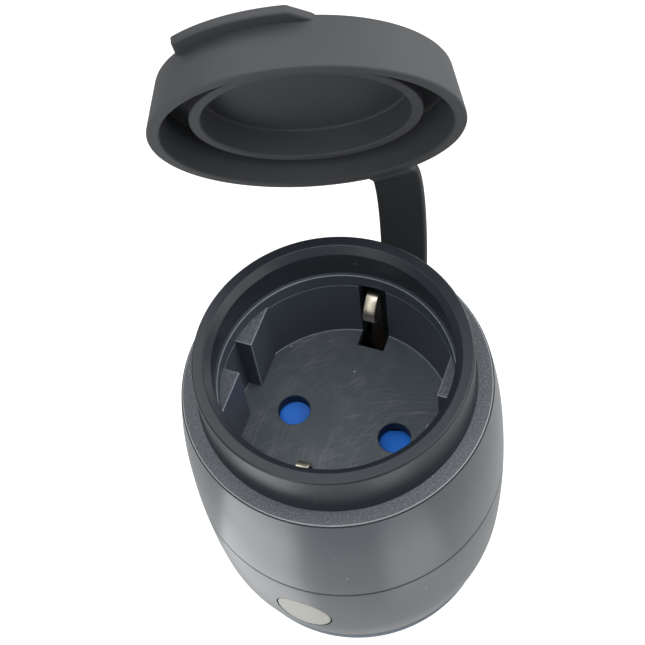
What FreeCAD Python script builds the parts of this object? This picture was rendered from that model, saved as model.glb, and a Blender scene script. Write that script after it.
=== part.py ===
import FreeCAD, Part
import math
import os

import Sketcher
from FreeCAD import Placement, Rotation, Vector

# A plug-in outdoor socket that is switched by radio. It is barrel shaped, with an earthed
# plug below, a recessed earthed socket above, a rubber cap on a strap, and a button.
# The origin is the centre of the plug's face, the plane that its pins stand out of.
# +Z runs along the axis to the socket, +X along the line of the pins, and the button
# faces -Y. The cap is built shut and then swung open on the line that its strap bends about.

SIZES = {
    # barrel: its widest ring, the long arc there and the ends of that arc
    "belly_radius": 28.5,
    "belly_arc": 240.0,
    "belly_arc_up": 16.0,
    "belly_arc_down": 16.0,
    "shoulder_radius": 26.5,
    "shoulder_height": 73.0,
    "base_radius": 25.8,
    "base_height": 17.0,
    "base_edge": 1.2,
    "shell_wall": 2.4,
    "base_floor": 3.0,
    "seam_gap": 0.6,
    "seam_inset": 0.3,
    "seam_width": 2.0,
    # socket well
    "well_depth": 17.6,
    "well_rim_rise": 1.6,
    "well_radius": 19.5,
    "well_mouth_radius": 20.1,
    "well_wall_radius": 21.8,
    "well_floor_wall": 2.4,
    "rib_face": 16.8,
    "rib_gap": 5.6,
    "rib_rise": 15.0,
    "rib_reach": 11.2,
    "pin_spacing": 19.0,
    "pin_hole_radius": 2.9,
    "earth_slot_width": 5.0,
    "earth_slot_inner": 16.1,
    "earth_slot_rise": 14.8,
    "ear_radius": 2.2,
    "ear_place": 24.1,
    "ear_reach": 25.4,
    "ear_boss_rise": 8.0,
    "bead_drop": 0.8,
    "bead_rise": 0.35,
    # rubber collar
    "collar_rise": 9.35,
    "collar_top_radius": 23.3,
    "collar_base_radius": 23.85,
    "collar_waist_radius": 23.45,
    "collar_foot": 1.6,
    "collar_bore": 20.75,
    "collar_mouth": 20.1,
    "collar_chamfer": 1.25,
    "collar_edge": 0.5,
    "collar_fit": 0.08,
    # shutter behind the pin holes
    "shutter_thick": 2.0,
    "shutter_gap": 0.2,
    "shutter_reach": 13.2,
    "shutter_hub": 4.0,
    "shutter_pad_angle": 38.0,
    "shutter_ramp": 9.0,
    "pivot_radius": 1.5,
    "pivot_length": 5.6,
    "running_gap": 0.06,
    "spring_wire": 0.25,
    "spring_coil": 2.5,
    "spring_turns": 2.5,
    "spring_pitch": 0.6,
    # socket contacts and their carrier
    "carrier_length": 30.0,
    "carrier_width": 13.0,
    "chamber_length": 8.4,
    "chamber_width": 8.0,
    "carrier_lid": 1.6,
    "contact_strip": 0.6,
    "contact_width": 6.0,
    "contact_grip": 2.25,
    "contact_heel_rise": 5.2,
    # circuit board and what stands on it
    "board_radius": 21.0,
    "board_thick": 1.6,
    "relay_length": 18.4,
    "relay_width": 10.2,
    "relay_gap": 1.5,
    "relay_place": 13.2,
    "film_place": 6.5,
    "film_length": 12.0,
    "film_width": 5.0,
    "film_height": 11.0,
    "can_place": 14.7,
    "can_radius": 3.5,
    "can_height": 11.5,
    "fuse_place": 16.4,
    "fuse_radius": 2.6,
    "fuse_height": 8.0,
    "varistor_radius": 3.5,
    "varistor_thick": 3.0,
    "radio_length": 7.5,
    "radio_height": 9.5,
    "radio_thick": 1.0,
    "aerial_radius": 0.4,
    "aerial_height": 15.0,
    # button and its switch
    "button_width": 10.3,
    "button_height": 12.7,
    "button_gap": 0.25,
    "button_proud": 0.1,
    "button_guide": 1.2,
    "button_lip": 0.8,
    "button_lip_thick": 0.8,
    "button_seat": 23.6,
    "button_seal_thick": 0.5,
    "button_travel": 0.8,
    "switch_side": 6.0,
    "switch_deep": 3.5,
    "switch_face": 20.6,
    "plunger_radius": 1.7,
    # plug
    "plug_radius": 18.5,
    "plug_edge": 1.0,
    "plug_flange_reach": 1.7,
    "plug_flange": 2.0,
    "plug_fit": 0.1,
    "plug_flat_inset": 2.3,
    "plug_key": 5.0,
    "plug_flat_rise": 16.4,
    "pin_radius": 2.4,
    "pin_length": 19.0,
    "pin_root": 2.0,
    "pin_shank": 1.6,
    "pin_collar": 3.2,
    "pin_collar_height": 8.0,
    "pin_collar_thick": 2.0,
    "fit_gap": 0.05,
    "post_place": 18.0,
    "post_radius": 2.0,
    "earth_hole_place": 10.0,
    "earth_hole_radius": 2.45,
    "sleeve_wall": 0.7,
    "sleeve_start": 1.0,
    "plug_earth_width": 6.0,
    "plug_earth_inset": 1.2,
    "plug_earth_bow": 0.6,
    "plug_earth_rise": 2.4,
    "earth_strip": 0.6,
    "plug_seal_inset": 0.4,
    "plug_seal_thick": 2.8,
    # socket earth clips
    "clip_width": 2.2,
    "clip_place": 20.6,
    "clip_rise": 13.9,
    "clip_bulge": 16.9,
    "clip_bulge_rise": 10.8,
    "clip_tip": 19.2,
    "clip_tip_rise": 5.5,
    "bridge_gap": 3.4,
    "link_place": 7.2,
    # screws
    "screw_room": 2.8,
    "tube_radius": 2.6,
    "boss_radius": 2.8,
    "boss_gap": 0.7,
    "screw_radius": 1.3,
    "screw_head_radius": 2.2,
    "screw_head": 1.6,
    "screw_end": 1.2,
    "small_screw_radius": 0.9,
    "small_head_radius": 1.6,
    "small_head": 1.0,
    "small_screw_length": 6.0,
    "pilot_skin": 1.0,
    "part_gap": 1.0,
    # cap
    "cap_top_radius": 24.0,
    "cap_mouth_radius": 25.9,
    "cap_flare_radius": 25.35,
    "cap_flare_height": 2.8,
    "cap_height": 9.4,
    "cap_edge": 1.0,
    "cap_crown": 1.8,
    "cap_skirt_bore": 23.75,
    "cap_skirt_wall": 0.5,
    "cap_ring_outer": 19.0,
    "cap_ring_wall": 1.9,
    "cap_ring_recess": 2.6,
    "cap_seat_gap": 0.45,
    "tab_radius": 27.3,
    "tab_sweep": 59.0,
    "tab_lead": 7.5,
    "tab_slant": 9.5,
    "tab_thick": 2.0,
    "tab_turn": 192.0,
    # strap and the line that the cap swings on
    "strap_width": 8.7,
    "strap_thick": 1.9,
    "strap_gap": 0.15,
    "strap_ear": 27.2,
    "strap_ear_turn": 3.0,
    "strap_azimuth": 81.5,
    "strap_start": 28.9,
    "strap_shift": 0.5,
    "strap_head_width": 13.0,
    "strap_head_height": 4.0,
    "strap_head_inner": 22.9,
    "strap_head_outer": 25.0,
    "strap_leave": 5.0,
    "strap_arrive": 4.0,
    "cap_press": 8.5,
    "swing_azimuth": 22.7,
    "swing_rise": 1.66,
    "swing_reach": 27.88,
    "swing_drop": 1.13,
    "swing_open": 73.17,
}

BELLY_SHARE = 28.0 / 56.0
SEAM_SHARE = 30.0 / 56.0
BUTTON_SHARE = 16.35 / 56.0
HOUSING_SCREWS = 4
FIRST_HOUSING_SCREW = 45.0
INSERT_SCREWS = 3
FIRST_INSERT_SCREW = 60.0
CAN_ANGLE = -48.0
FUSE_ANGLE = 35.0
STRAP_SECTIONS = 14
SPRING_STEPS = 12
SPARE = 1.0

doc = FreeCAD.newDocument("RemoteSocket")
sheet = doc.addObject("Spreadsheet::Sheet", "Sizes")
nodes = {}


class Size:
    """A length that carries its value and the expression that repeats it in the document."""

    def __init__(self, value, text):
        self.value = float(value)
        self.text = text

    def __add__(self, other):
        other = size(other)
        return Size(self.value + other.value, "(%s + %s)" % (self.text, other.text))

    def __sub__(self, other):
        other = size(other)
        return Size(self.value - other.value, "(%s - %s)" % (self.text, other.text))

    def __mul__(self, other):
        other = size(other)
        return Size(self.value * other.value, "(%s * %s)" % (self.text, other.text))

    def __truediv__(self, other):
        other = size(other)
        return Size(self.value / other.value, "(%s / %s)" % (self.text, other.text))

    def __radd__(self, other):
        return size(other) + self

    def __rsub__(self, other):
        return size(other) - self

    def __rmul__(self, other):
        return size(other) * self

    def __neg__(self):
        return size(0) - self


def size(number):
    """Turn a plain number into a Size, and leave a Size as it is."""
    if isinstance(number, Size):
        return number
    return Size(number, "%.10g" % number)


def root(square):
    """Square root of a Size."""
    return Size(math.sqrt(square.value), "sqrt(%s)" % square.text)


class Sheet:
    """The driving sizes, each one an attribute that is bound to its cell."""


def fill_sheet():
    """Write every size to its cell and return them as attributes."""
    cells = Sheet()
    for row, (alias, value) in enumerate(SIZES.items(), start=1):
        sheet.set("A%d" % row, alias)
        sheet.set("B%d" % row, str(value))
        sheet.setAlias("B%d" % row, alias)
        setattr(cells, alias, Size(value, "Sizes." + alias))
    doc.recompute()
    return cells


s = fill_sheet()


def bind(item, **lengths):
    """Bind properties of an object to sizes."""
    for name, length in lengths.items():
        item.setExpression(name, size(length).text)


def place(item, x, y, z):
    """Bind an object's position to sizes."""
    item.setExpression("Placement.Base.x", size(x).text)
    item.setExpression("Placement.Base.y", size(y).text)
    item.setExpression("Placement.Base.z", size(z).text)
    return item


def polar(radius, degrees):
    """The x and y of a point at a radius and an angle about the axis."""
    turn = math.radians(degrees)
    return radius * math.cos(turn), radius * math.sin(turn)


def ring_of(count, first):
    """The angles of evenly spaced places about the axis."""
    return [first + 360.0 / count * index for index in range(count)]


def box(name, x, y, z):
    """A box between two limits along each axis, each given as a (low, high) pair."""
    item = doc.addObject("Part::Box", name)
    bind(item, Length=x[1] - x[0], Width=y[1] - y[0], Height=z[1] - z[0])
    return place(item, x[0], y[0], z[0])


def cylinder(name, radius, x, y, low, high):
    """An upright cylinder between two heights."""
    item = doc.addObject("Part::Cylinder", name)
    bind(item, Radius=radius, Height=size(high) - low)
    return place(item, x, y, low)


def level_cylinder(name, radius, x, z, front, back):
    """A cylinder along Y between two places."""
    item = doc.addObject("Part::Cylinder", name)
    item.Placement = Placement(Vector(0, 0, 0), Rotation(Vector(1, 0, 0), -90))
    bind(item, Radius=radius, Height=size(back) - front)
    return place(item, x, front, z)


def fuse(name, shapes):
    """One solid made of several that meet."""
    item = doc.addObject("Part::MultiFuse", name)
    item.Shapes = shapes
    item.Refine = True
    return item


def cut(name, base, tools):
    """A solid with others taken out of it."""
    item = doc.addObject("Part::Cut", name)
    item.Base = base
    item.Tool = tools[0] if len(tools) == 1 else group(name + "_tools", tools)
    item.Refine = True
    return item


def common(name, base, tool):
    """What two solids share."""
    item = doc.addObject("Part::Common", name)
    item.Base = base
    item.Tool = tool
    return item


def group(name, shapes):
    """Separate solids kept together."""
    item = doc.addObject("Part::Compound", name)
    item.Links = shapes
    return item


def node(label, item):
    """Name an object as one of the part's pieces."""
    item.Label = label
    nodes[label] = item
    return item


def corner(x, y, arc=None, side=1):
    """A corner of an outline. With an arc's radius, the side to the next corner is that arc,
    which turns left for side 1 and right for side -1."""
    return size(x), size(y), arc, side


def arc_between(start, end, radius, side):
    """A short arc of a circle from start to end."""
    middle = (start + end) * 0.5
    half = (end - start) * 0.5
    reach = math.sqrt(radius * radius - half.Length * half.Length)
    normal = Vector(-half.y, half.x, 0).normalize() * side
    centre = middle + normal * reach
    first, last = (start, end) if side > 0 else (end, start)
    low = math.atan2(first.y - centre.y, first.x - centre.x)
    high = math.atan2(last.y - centre.y, last.x - centre.x)
    circle = Part.Circle(centre, Vector(0, 0, 1), radius)
    return Part.ArcOfCircle(circle, low, high)


def draw(sketch, outline):
    """Draw a closed outline and bind every corner and arc of it to sizes."""
    points = [Vector(x.value, y.value, 0) for x, y, arc, side in outline]
    for index, (x, y, arc, side) in enumerate(outline):
        start, end = points[index], points[(index + 1) % len(points)]
        if arc is None:
            sketch.addGeometry(Part.LineSegment(start, end))
        else:
            sketch.addGeometry(arc_between(start, end, size(arc).value, side))
    for index, (x, y, arc, side) in enumerate(outline):
        following = (index + 1) % len(outline)
        near = 1 if arc is None or side > 0 else 2
        far = 3 - near
        after = outline[following]
        after_near = 1 if after[2] is None or after[3] > 0 else 2
        sketch.addConstraint(Sketcher.Constraint("Coincident", index, far, following, after_near))
        hold(sketch, "DistanceX", index, near, x)
        hold(sketch, "DistanceY", index, near, y)
        if arc is not None:
            mark = sketch.addConstraint(Sketcher.Constraint("Radius", index, size(arc).value))
            sketch.setExpression("Constraints[%d]" % mark, size(arc).text)


def hold(sketch, kind, index, end, length):
    """Hold one end of a side at a bound distance from the sketch's origin."""
    if length.text == "0":
        axis = -2 if kind == "DistanceX" else -1
        sketch.addConstraint(Sketcher.Constraint("PointOnObject", index, end, axis))
        return
    mark = sketch.addConstraint(Sketcher.Constraint(kind, -1, 1, index, end, length.value))
    sketch.setExpression("Constraints[%d]" % mark, length.text)


def origin_feature(body, role):
    """A body's own origin plane or axis."""
    return next(item for item in body.Origin.OriginFeatures if item.Role == role)


def sketch_on(body, role, name, outline):
    """A sketch of an outline on one of a body's origin planes."""
    sketch = body.newObject("Sketcher::SketchObject", name)
    sketch.AttachmentSupport = [(origin_feature(body, role), "")]
    sketch.MapMode = "FlatFace"
    draw(sketch, outline)
    return sketch


def turned(name, outline):
    """A body turned about the Z axis from an outline of radius and height."""
    body = doc.addObject("PartDesign::Body", name)
    sketch = sketch_on(body, "XZ_Plane", name + "_outline", outline)
    spin = body.newObject("PartDesign::Revolution", name + "_turn")
    spin.Profile = sketch
    spin.ReferenceAxis = (sketch, ["V_Axis"])
    spin.Angle = 360.0
    return body


def plate(name, outline, low, high):
    """A body of an outline seen from above, between two heights."""
    body = doc.addObject("PartDesign::Body", name)
    sketch = sketch_on(body, "XY_Plane", name + "_outline", outline)
    sketch.setExpression("AttachmentOffset.Base.z", size(low).text)
    pad = body.newObject("PartDesign::Pad", name + "_pad")
    pad.Profile = sketch
    pad.setExpression("Length", (size(high) - low).text)
    return body


def oval(name, width, height, centre, front, back):
    """An upright oval prism along Y, about a centre height."""
    ellipse = doc.addObject("Part::Ellipse", name + "_edge")
    ellipse.Placement = Placement(Vector(0, 0, 0), Rotation(Vector(0, 0, 1), Vector(1, 0, 0), Vector(0, 1, 0)))
    bind(ellipse, MajorRadius=height / 2, MinorRadius=width / 2)
    place(ellipse, 0, front, centre)
    prism = doc.addObject("Part::Extrusion", name)
    prism.Base = ellipse
    prism.DirMode = "Custom"
    prism.Dir = Vector(0, 1, 0)
    prism.Solid = True
    bind(prism, LengthFwd=size(back) - front)
    return prism


def strip_outline(path, thick):
    """The outline of a bent strip, half its thickness to each side of a path."""
    sides = ([], [])
    for index, point in enumerate(path):
        before = path[index] - path[index - 1] if index else path[1] - path[0]
        after = path[index + 1] - point if index + 1 < len(path) else before
        first = Vector(-before.y, before.x, 0).normalize()
        second = Vector(-after.y, after.x, 0).normalize()
        across = (first + second).normalize()
        reach = thick / 2 / across.dot(first)
        sides[0].append(point + across * reach)
        sides[1].append(point - across * reach)
    return sides[0] + sides[1][::-1]


def bent_strip(name, path, thick, width, place_on, centre=0):
    """A strip of sheet metal bent along a path of (across, height) points.
    place_on is X or Y, the direction that the path's first number runs in."""
    points = [Vector(size(across).value, size(high).value, 0) for across, high in path]
    outline = strip_outline(points, size(thick).value)
    half = size(width).value / 2
    middle = size(centre).value
    if place_on == "Y":
        corners = [Vector(middle - half, point.x, point.y) for point in outline]
        reach = Vector(2 * half, 0, 0)
    else:
        corners = [Vector(point.x, middle - half, point.y) for point in outline]
        reach = Vector(0, 2 * half, 0)
    face = Part.Face(Part.makePolygon(corners + corners[:1]))
    item = doc.addObject("Part::Feature", name)
    item.Shape = face.extrude(reach)
    return item


def screw(name, x, y, head_low, head_radius, head, radius, length, up=True):
    """A flat headed screw whose shank runs up, or down, from its head."""
    item_head = cylinder(name + "_head", head_radius, x, y, head_low, head_low + head)
    if up:
        shank = cylinder(name + "_shank", radius, x, y, head_low + head, head_low + head + length)
    else:
        shank = cylinder(name + "_shank", radius, x, y, head_low - length, head_low)
    return fuse(name, [item_head, shank])


# Barrel form, shared by the two shells and the button
barrel_height = s.shoulder_height - s.base_height
belly_height = s.base_height + barrel_height * BELLY_SHARE
seam_height = s.base_height + barrel_height * SEAM_SHARE
button_centre = s.base_height + barrel_height * BUTTON_SHARE
arc_top = belly_height + s.belly_arc_up
arc_low = belly_height - s.belly_arc_down
arc_centre = s.belly_radius - s.belly_arc


def belly_at(height, inset=0):
    """The barrel's radius on its long arc at a height, less an inset."""
    drop = size(height) - belly_height
    radius = s.belly_arc - inset
    return arc_centre + root(radius * radius - drop * drop)


def end_arc(height, radius, level, rise):
    """Radius of the arc that leaves the long arc smoothly and ends at a radius and a level,
    and its side: 1 where it draws in and -1 where it flares."""
    across = (belly_at(height) - arc_centre) / s.belly_arc
    along = rise / s.belly_arc
    out = belly_at(height) - radius
    rise_to = root((level - size(height)) * (level - size(height)))
    chord = out * out + rise_to * rise_to
    bend = out * across + rise_to * along
    side = 1 if bend.value > 0 else -1
    return chord * side / (2 * bend), side


top_arc, top_side = end_arc(arc_top, s.shoulder_radius, s.shoulder_height, s.belly_arc_up)
edge_height = s.base_height + s.base_edge
low_arc, low_side = end_arc(arc_low, s.base_radius, edge_height, s.belly_arc_down)

seam_top = seam_height + s.seam_gap / 2
seam_low = seam_height - s.seam_gap / 2
floor_top = s.base_height + s.base_floor
roof_low = s.shoulder_height - s.shell_wall
neck_radius = s.well_wall_radius + s.collar_fit
rim_height = s.shoulder_height + s.well_rim_rise
well_floor = rim_height - s.well_depth
well_under = well_floor - s.well_floor_wall
bead_height = rim_height - s.bead_drop
collar_top = s.shoulder_height + s.collar_rise
pin_x = s.pin_spacing / 2
board_top = button_centre - s.switch_side / 2
board_low = board_top - s.board_thick
plug_flange_radius = s.plug_radius + s.plug_flange_reach
plug_flange_top = floor_top + s.plug_flange
plug_flat = s.plug_radius - s.plug_flat_inset
plug_earth_place = s.plug_radius - s.plug_earth_inset
plug_seal_radius = s.base_radius - s.plug_seal_inset
screw_place = s.plug_radius + s.screw_room
plug_earth_top = plug_flange_top + s.plug_earth_rise
shutter_top = well_under - s.shutter_gap
shutter_low = shutter_top - s.shutter_thick
carrier_top = shutter_low - s.shutter_gap
spring_low = shutter_low - s.fit_gap - 2 * s.spring_wire - s.spring_pitch * s.spring_turns
contact_heel = board_top + s.contact_heel_rise
clip_top = well_floor + s.clip_rise
clip_bulge_height = well_floor + s.clip_bulge_rise
clip_tip_height = well_floor + s.clip_tip_rise
bridge_height = well_under - s.pivot_length - s.bridge_gap
cap_shut = collar_top + s.cap_seat_gap + s.cap_crown - s.cap_height
swing_height = cap_shut - s.swing_drop
strap_low = seam_low - s.strap_gap - s.strap_thick
boss_top = well_under - s.boss_gap


def make_upper_housing():
    """The upper shell: barrel wall, flat shoulder with the neck's hole, and bosses for screws."""
    outline = [
        corner(neck_radius, s.shoulder_height),
        corner(neck_radius, roof_low),
        corner(s.shoulder_radius - s.shell_wall, roof_low, top_arc - s.shell_wall * top_side, -top_side),
        corner(belly_at(arc_top, s.shell_wall), arc_top, s.belly_arc - s.shell_wall, -1),
        corner(belly_at(seam_top, s.shell_wall), seam_top),
        corner(belly_at(seam_top), seam_top, s.belly_arc, 1),
        corner(belly_at(arc_top), arc_top, top_arc, top_side),
        corner(s.shoulder_radius, s.shoulder_height),
    ]
    parts = [turned("upper_shell", outline)]
    holes = []
    for index, turn in enumerate(ring_of(HOUSING_SCREWS, FIRST_HOUSING_SCREW)):
        x, y = polar(screw_place, turn)
        boss = cylinder("upper_boss%d" % index, s.boss_radius, x, y, seam_top, boss_top)
        web = box("upper_web%d" % index, (size(0), belly_at(seam_top) - s.shell_wall / 2 - screw_place),
                  (-s.shell_wall / 2, s.shell_wall / 2), (seam_top, boss_top))
        web.Placement = Placement(Vector(0, 0, 0), Rotation(Vector(0, 0, 1), turn))
        place(web, x + s.shell_wall / 2 * math.sin(math.radians(turn)),
              y - s.shell_wall / 2 * math.cos(math.radians(turn)), seam_top)
        parts += [boss, web]
        pilot = s.screw_radius + s.fit_gap
        holes.append(cylinder("upper_pilot%d" % index, pilot, x, y, seam_top - SPARE, boss_top - s.pilot_skin))
    for index, turn in enumerate(ring_of(INSERT_SCREWS, FIRST_INSERT_SCREW)):
        x, y = polar(s.ear_place, turn)
        ear_top = well_floor + s.ear_boss_rise
        boss = cylinder("ear_boss%d" % index, s.ear_radius, x, y, well_floor, ear_top)
        pilot = s.small_screw_radius + s.fit_gap
        parts.append(boss)
        holes.append(cylinder("ear_pilot%d" % index, pilot, x, y, well_floor - SPARE, ear_top - s.pilot_skin))
    shell = fuse("upper_housing_solid", parts)
    bore = cylinder("well_room", s.well_wall_radius + s.fit_gap, 0, 0, well_floor - SPARE, roof_low)
    node("upper_housing", cut("upper_housing", shell, holes + [bore]))


def make_lower_housing():
    """The lower shell: barrel wall, floor with the plug's hole, screw tubes and button guide."""
    outline = [
        corner(s.plug_radius + s.plug_fit, s.base_height),
        corner(s.base_radius - s.base_edge, s.base_height, s.base_edge, 1),
        corner(s.base_radius, edge_height, low_arc, low_side),
        corner(belly_at(arc_low), arc_low, s.belly_arc, 1),
        corner(belly_at(seam_low), seam_low),
        corner(belly_at(seam_low, s.shell_wall), seam_low, s.belly_arc - s.shell_wall, -1),
        corner(belly_at(arc_low, s.shell_wall), arc_low, low_arc - s.shell_wall * low_side, -low_side),
        corner(s.base_radius - s.shell_wall, floor_top),
        corner(s.plug_radius + s.plug_fit, floor_top),
    ]
    parts = [turned("lower_shell", outline)]
    holes = []
    for index, turn in enumerate(ring_of(HOUSING_SCREWS, FIRST_HOUSING_SCREW)):
        x, y = polar(screw_place, turn)
        parts.append(cylinder("tube%d" % index, s.tube_radius, x, y, floor_top - SPARE, seam_low))
        passage = s.screw_radius + s.fit_gap
        holes.append(cylinder("tube_bore%d" % index, passage, x, y, s.base_height - SPARE, seam_low + SPARE))
        recess = s.base_height + s.screw_head + s.fit_gap
        holes.append(cylinder("head_recess%d" % index, s.screw_head_radius + s.fit_gap, x, y,
                              s.base_height - SPARE, recess))
    guide_width = s.button_width + 2 * (s.button_gap + s.button_guide)
    guide_height = s.button_height + 2 * (s.button_gap + s.button_guide)
    guide = oval("guide_block", guide_width, guide_height, button_centre,
                 -belly_at(button_centre), -s.button_seat)
    parts.append(common("button_guide", guide, barrel_form("guide_trim", -s.shell_wall / 2)))
    holes.append(oval("button_hole", s.button_width + 2 * s.button_gap, s.button_height + 2 * s.button_gap,
                      button_centre, -s.belly_radius - SPARE, -s.button_seat + SPARE))
    slot_half = s.strap_width / 2 + s.strap_gap
    holes.append(box("strap_slot", (s.strap_shift - slot_half, s.strap_shift + slot_half), (s.strap_head_inner, s.belly_radius + SPARE),
                     (strap_low - s.strap_gap, seam_low + SPARE)))
    shell = fuse("lower_housing_solid", parts)
    node("lower_housing", cut("lower_housing", shell, holes))


def barrel_form(name, grown):
    """The closed barrel below the seam, grown by a little, to trim what follows its surface."""
    outline = [
        corner(0, s.base_height),
        corner(s.base_radius + grown, s.base_height),
        corner(s.base_radius + grown, edge_height, low_arc + grown * low_side, low_side),
        corner(belly_at(arc_low) + grown, arc_low, s.belly_arc + grown, 1),
        corner(belly_at(seam_low) + grown, seam_low),
        corner(0, seam_low),
    ]
    return turned(name, outline)


def make_seam_gasket():
    """The dark ring pinched between the two shells."""
    outer = belly_at(seam_height) - s.seam_inset
    outline = [
        corner(outer - s.seam_width, seam_low),
        corner(outer, seam_low),
        corner(outer, seam_top),
        corner(outer - s.seam_width, seam_top),
    ]
    node("seam_gasket", turned("seam_gasket", outline))


def make_collar():
    """The rubber collar round the socket's mouth, snapped over a bead on the insert."""
    bore = s.well_wall_radius + s.collar_fit
    groove = bore + s.bead_rise
    bead_low = bead_height - s.bead_rise
    bead_high = bead_height + s.bead_rise
    outline = [
        corner(s.collar_bore, rim_height),
        corner(bore, rim_height),
        corner(bore, bead_high),
        corner(groove, bead_height),
        corner(bore, bead_low),
        corner(bore, s.shoulder_height),
        corner(s.collar_base_radius, s.shoulder_height),
        corner(s.collar_waist_radius, s.shoulder_height + s.collar_foot),
        corner(s.collar_top_radius, collar_top - s.collar_edge, s.collar_edge, 1),
        corner(s.collar_top_radius - s.collar_edge, collar_top),
        corner(s.collar_mouth + s.collar_chamfer, collar_top),
        corner(s.collar_mouth, collar_top - s.collar_chamfer),
    ]
    node("collar_ring", turned("collar_ring", outline))


def make_insert():
    """The socket well: cup with guide ribs, pin holes, earth slots, ears and shutter pivot."""
    outline = [
        corner(0, well_under),
        corner(s.well_wall_radius, well_under),
        corner(s.well_wall_radius, bead_height - s.bead_rise),
        corner(s.well_wall_radius + s.bead_rise, bead_height),
        corner(s.well_wall_radius, bead_height + s.bead_rise),
        corner(s.well_wall_radius, rim_height),
        corner(s.well_mouth_radius, rim_height),
        corner(s.well_radius, well_floor),
        corner(0, well_floor),
    ]
    parts = [turned("well_cup", outline)]
    holes = []
    rib_top = well_floor + s.rib_rise
    inside = (s.well_wall_radius + s.well_mouth_radius) / 2
    for index, (across, along) in enumerate(((1, 1), (1, -1), (-1, 1), (-1, -1))):
        low_x = s.rib_face if across > 0 else -inside
        low_y = s.rib_gap / 2 if along > 0 else -s.rib_reach
        block = box("rib_block%d" % index, (low_x, low_x + inside - s.rib_face),
                    (low_y, low_y + s.rib_reach - s.rib_gap / 2), (well_floor - SPARE, rib_top))
        round_form = cylinder("rib_round%d" % index, inside, 0, 0, well_floor - SPARE, rib_top)
        parts.append(common("rib%d" % index, block, round_form))
    for index, turn in enumerate(ring_of(INSERT_SCREWS, FIRST_INSERT_SCREW)):
        x, y = polar(s.ear_place, turn)
        ear = cylinder("ear%d" % index, s.ear_radius, x, y, well_under, well_floor)
        web = box("ear_web%d" % index, (size(0), s.ear_place - s.well_radius), (size(0), 2 * s.ear_radius),
                  (well_under, well_floor))
        web.Placement = Placement(Vector(0, 0, 0), Rotation(Vector(0, 0, 1), turn))
        start_x, start_y = polar(s.well_radius, turn)
        place(web, start_x + s.ear_radius * math.sin(math.radians(turn)),
              start_y - s.ear_radius * math.cos(math.radians(turn)), well_under)
        lug = fuse("ear_lug%d" % index, [ear, web])
        trim = cylinder("ear_trim%d" % index, s.ear_reach, 0, 0, well_under, well_floor)
        parts.append(common("ear_trimmed%d" % index, lug, trim))
        passage = s.small_screw_radius + s.fit_gap
        holes.append(cylinder("ear_hole%d" % index, passage, x, y, well_under - SPARE, well_floor + SPARE))
    parts.append(cylinder("shutter_pivot", s.pivot_radius, 0, 0, well_under - s.pivot_length, well_under + SPARE))
    for index, side in enumerate((1, -1)):
        holes.append(cylinder("pin_hole%d" % index, s.pin_hole_radius, side * pin_x, 0,
                              well_under - SPARE, well_floor + SPARE))
        half = s.earth_slot_width / 2
        inner = s.earth_slot_inner if side > 0 else -s.well_wall_radius - SPARE
        slot_deep = s.well_wall_radius + SPARE - s.earth_slot_inner
        holes.append(box("earth_slot%d" % index, (-half, half), (inner, inner + slot_deep),
                         (well_under - SPARE, well_floor + s.earth_slot_rise)))
    body = fuse("insert_solid", parts)
    node("socket_insert", cut("socket_insert", body, holes))


def make_shutter():
    """The turning shutter: a hub and two ramped pads that close the pin holes."""
    top = shutter_top
    low = shutter_low
    parts = [cylinder("shutter_hub", s.shutter_hub, 0, 0, low, top)]
    for index, turn in enumerate((0.0, 180.0)):
        pad = doc.addObject("Part::Cylinder", "shutter_pad%d" % index)
        bind(pad, Radius=s.shutter_reach, Height=s.shutter_thick, Angle=s.shutter_pad_angle)
        pad.Placement = Placement(Vector(0, 0, 0), Rotation(Vector(0, 0, 1), turn - s.shutter_pad_angle.value / 2))
        place(pad, 0, 0, low)
        ramp = doc.addObject("Part::Box", "shutter_ramp%d" % index)
        bind(ramp, Length=s.shutter_reach, Width=s.shutter_reach, Height=s.shutter_thick * 2)
        falling = Rotation(Vector(1, 0, 0), -s.shutter_ramp.value)
        high_edge = turn - s.shutter_pad_angle.value / 2
        ramp.Placement = Placement(Vector(0, 0, 0), Rotation(Vector(0, 0, 1), high_edge).multiply(falling))
        place(ramp, *polar(s.shutter_hub, high_edge), top)
        parts.append(cut("shutter_arm%d" % index, pad, [ramp]))
    disc = fuse("shutter_solid", parts)
    bore = cylinder("shutter_bore", s.pivot_radius + s.running_gap, 0, 0, low - SPARE, top + SPARE)
    node("shutter", cut("shutter", disc, [bore]))


def make_shutter_spring():
    """The torsion spring under the shutter's hub, lofted through sections along its coil."""
    coil = s.spring_coil.value
    wire = s.spring_wire.value
    start = spring_low.value + wire
    sections = []
    for index in range(int(s.spring_turns.value * SPRING_STEPS) + 1):
        turn = 2 * math.pi * index / SPRING_STEPS
        out = Vector(math.cos(turn), math.sin(turn), 0)
        middle = out * coil + Vector(0, 0, start + s.spring_pitch.value * index / SPRING_STEPS)
        corners = [middle + out * (wire * math.cos(math.radians(side))) + Vector(0, 0, wire * math.sin(
            math.radians(side))) for side in range(0, 360, 45)]
        sections.append(Part.makePolygon(corners + corners[:1]))
    spring = doc.addObject("Part::Feature", "shutter_spring")
    spring.Shape = Part.makeLoft(sections, True, True)
    node("shutter_spring", spring)


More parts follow.
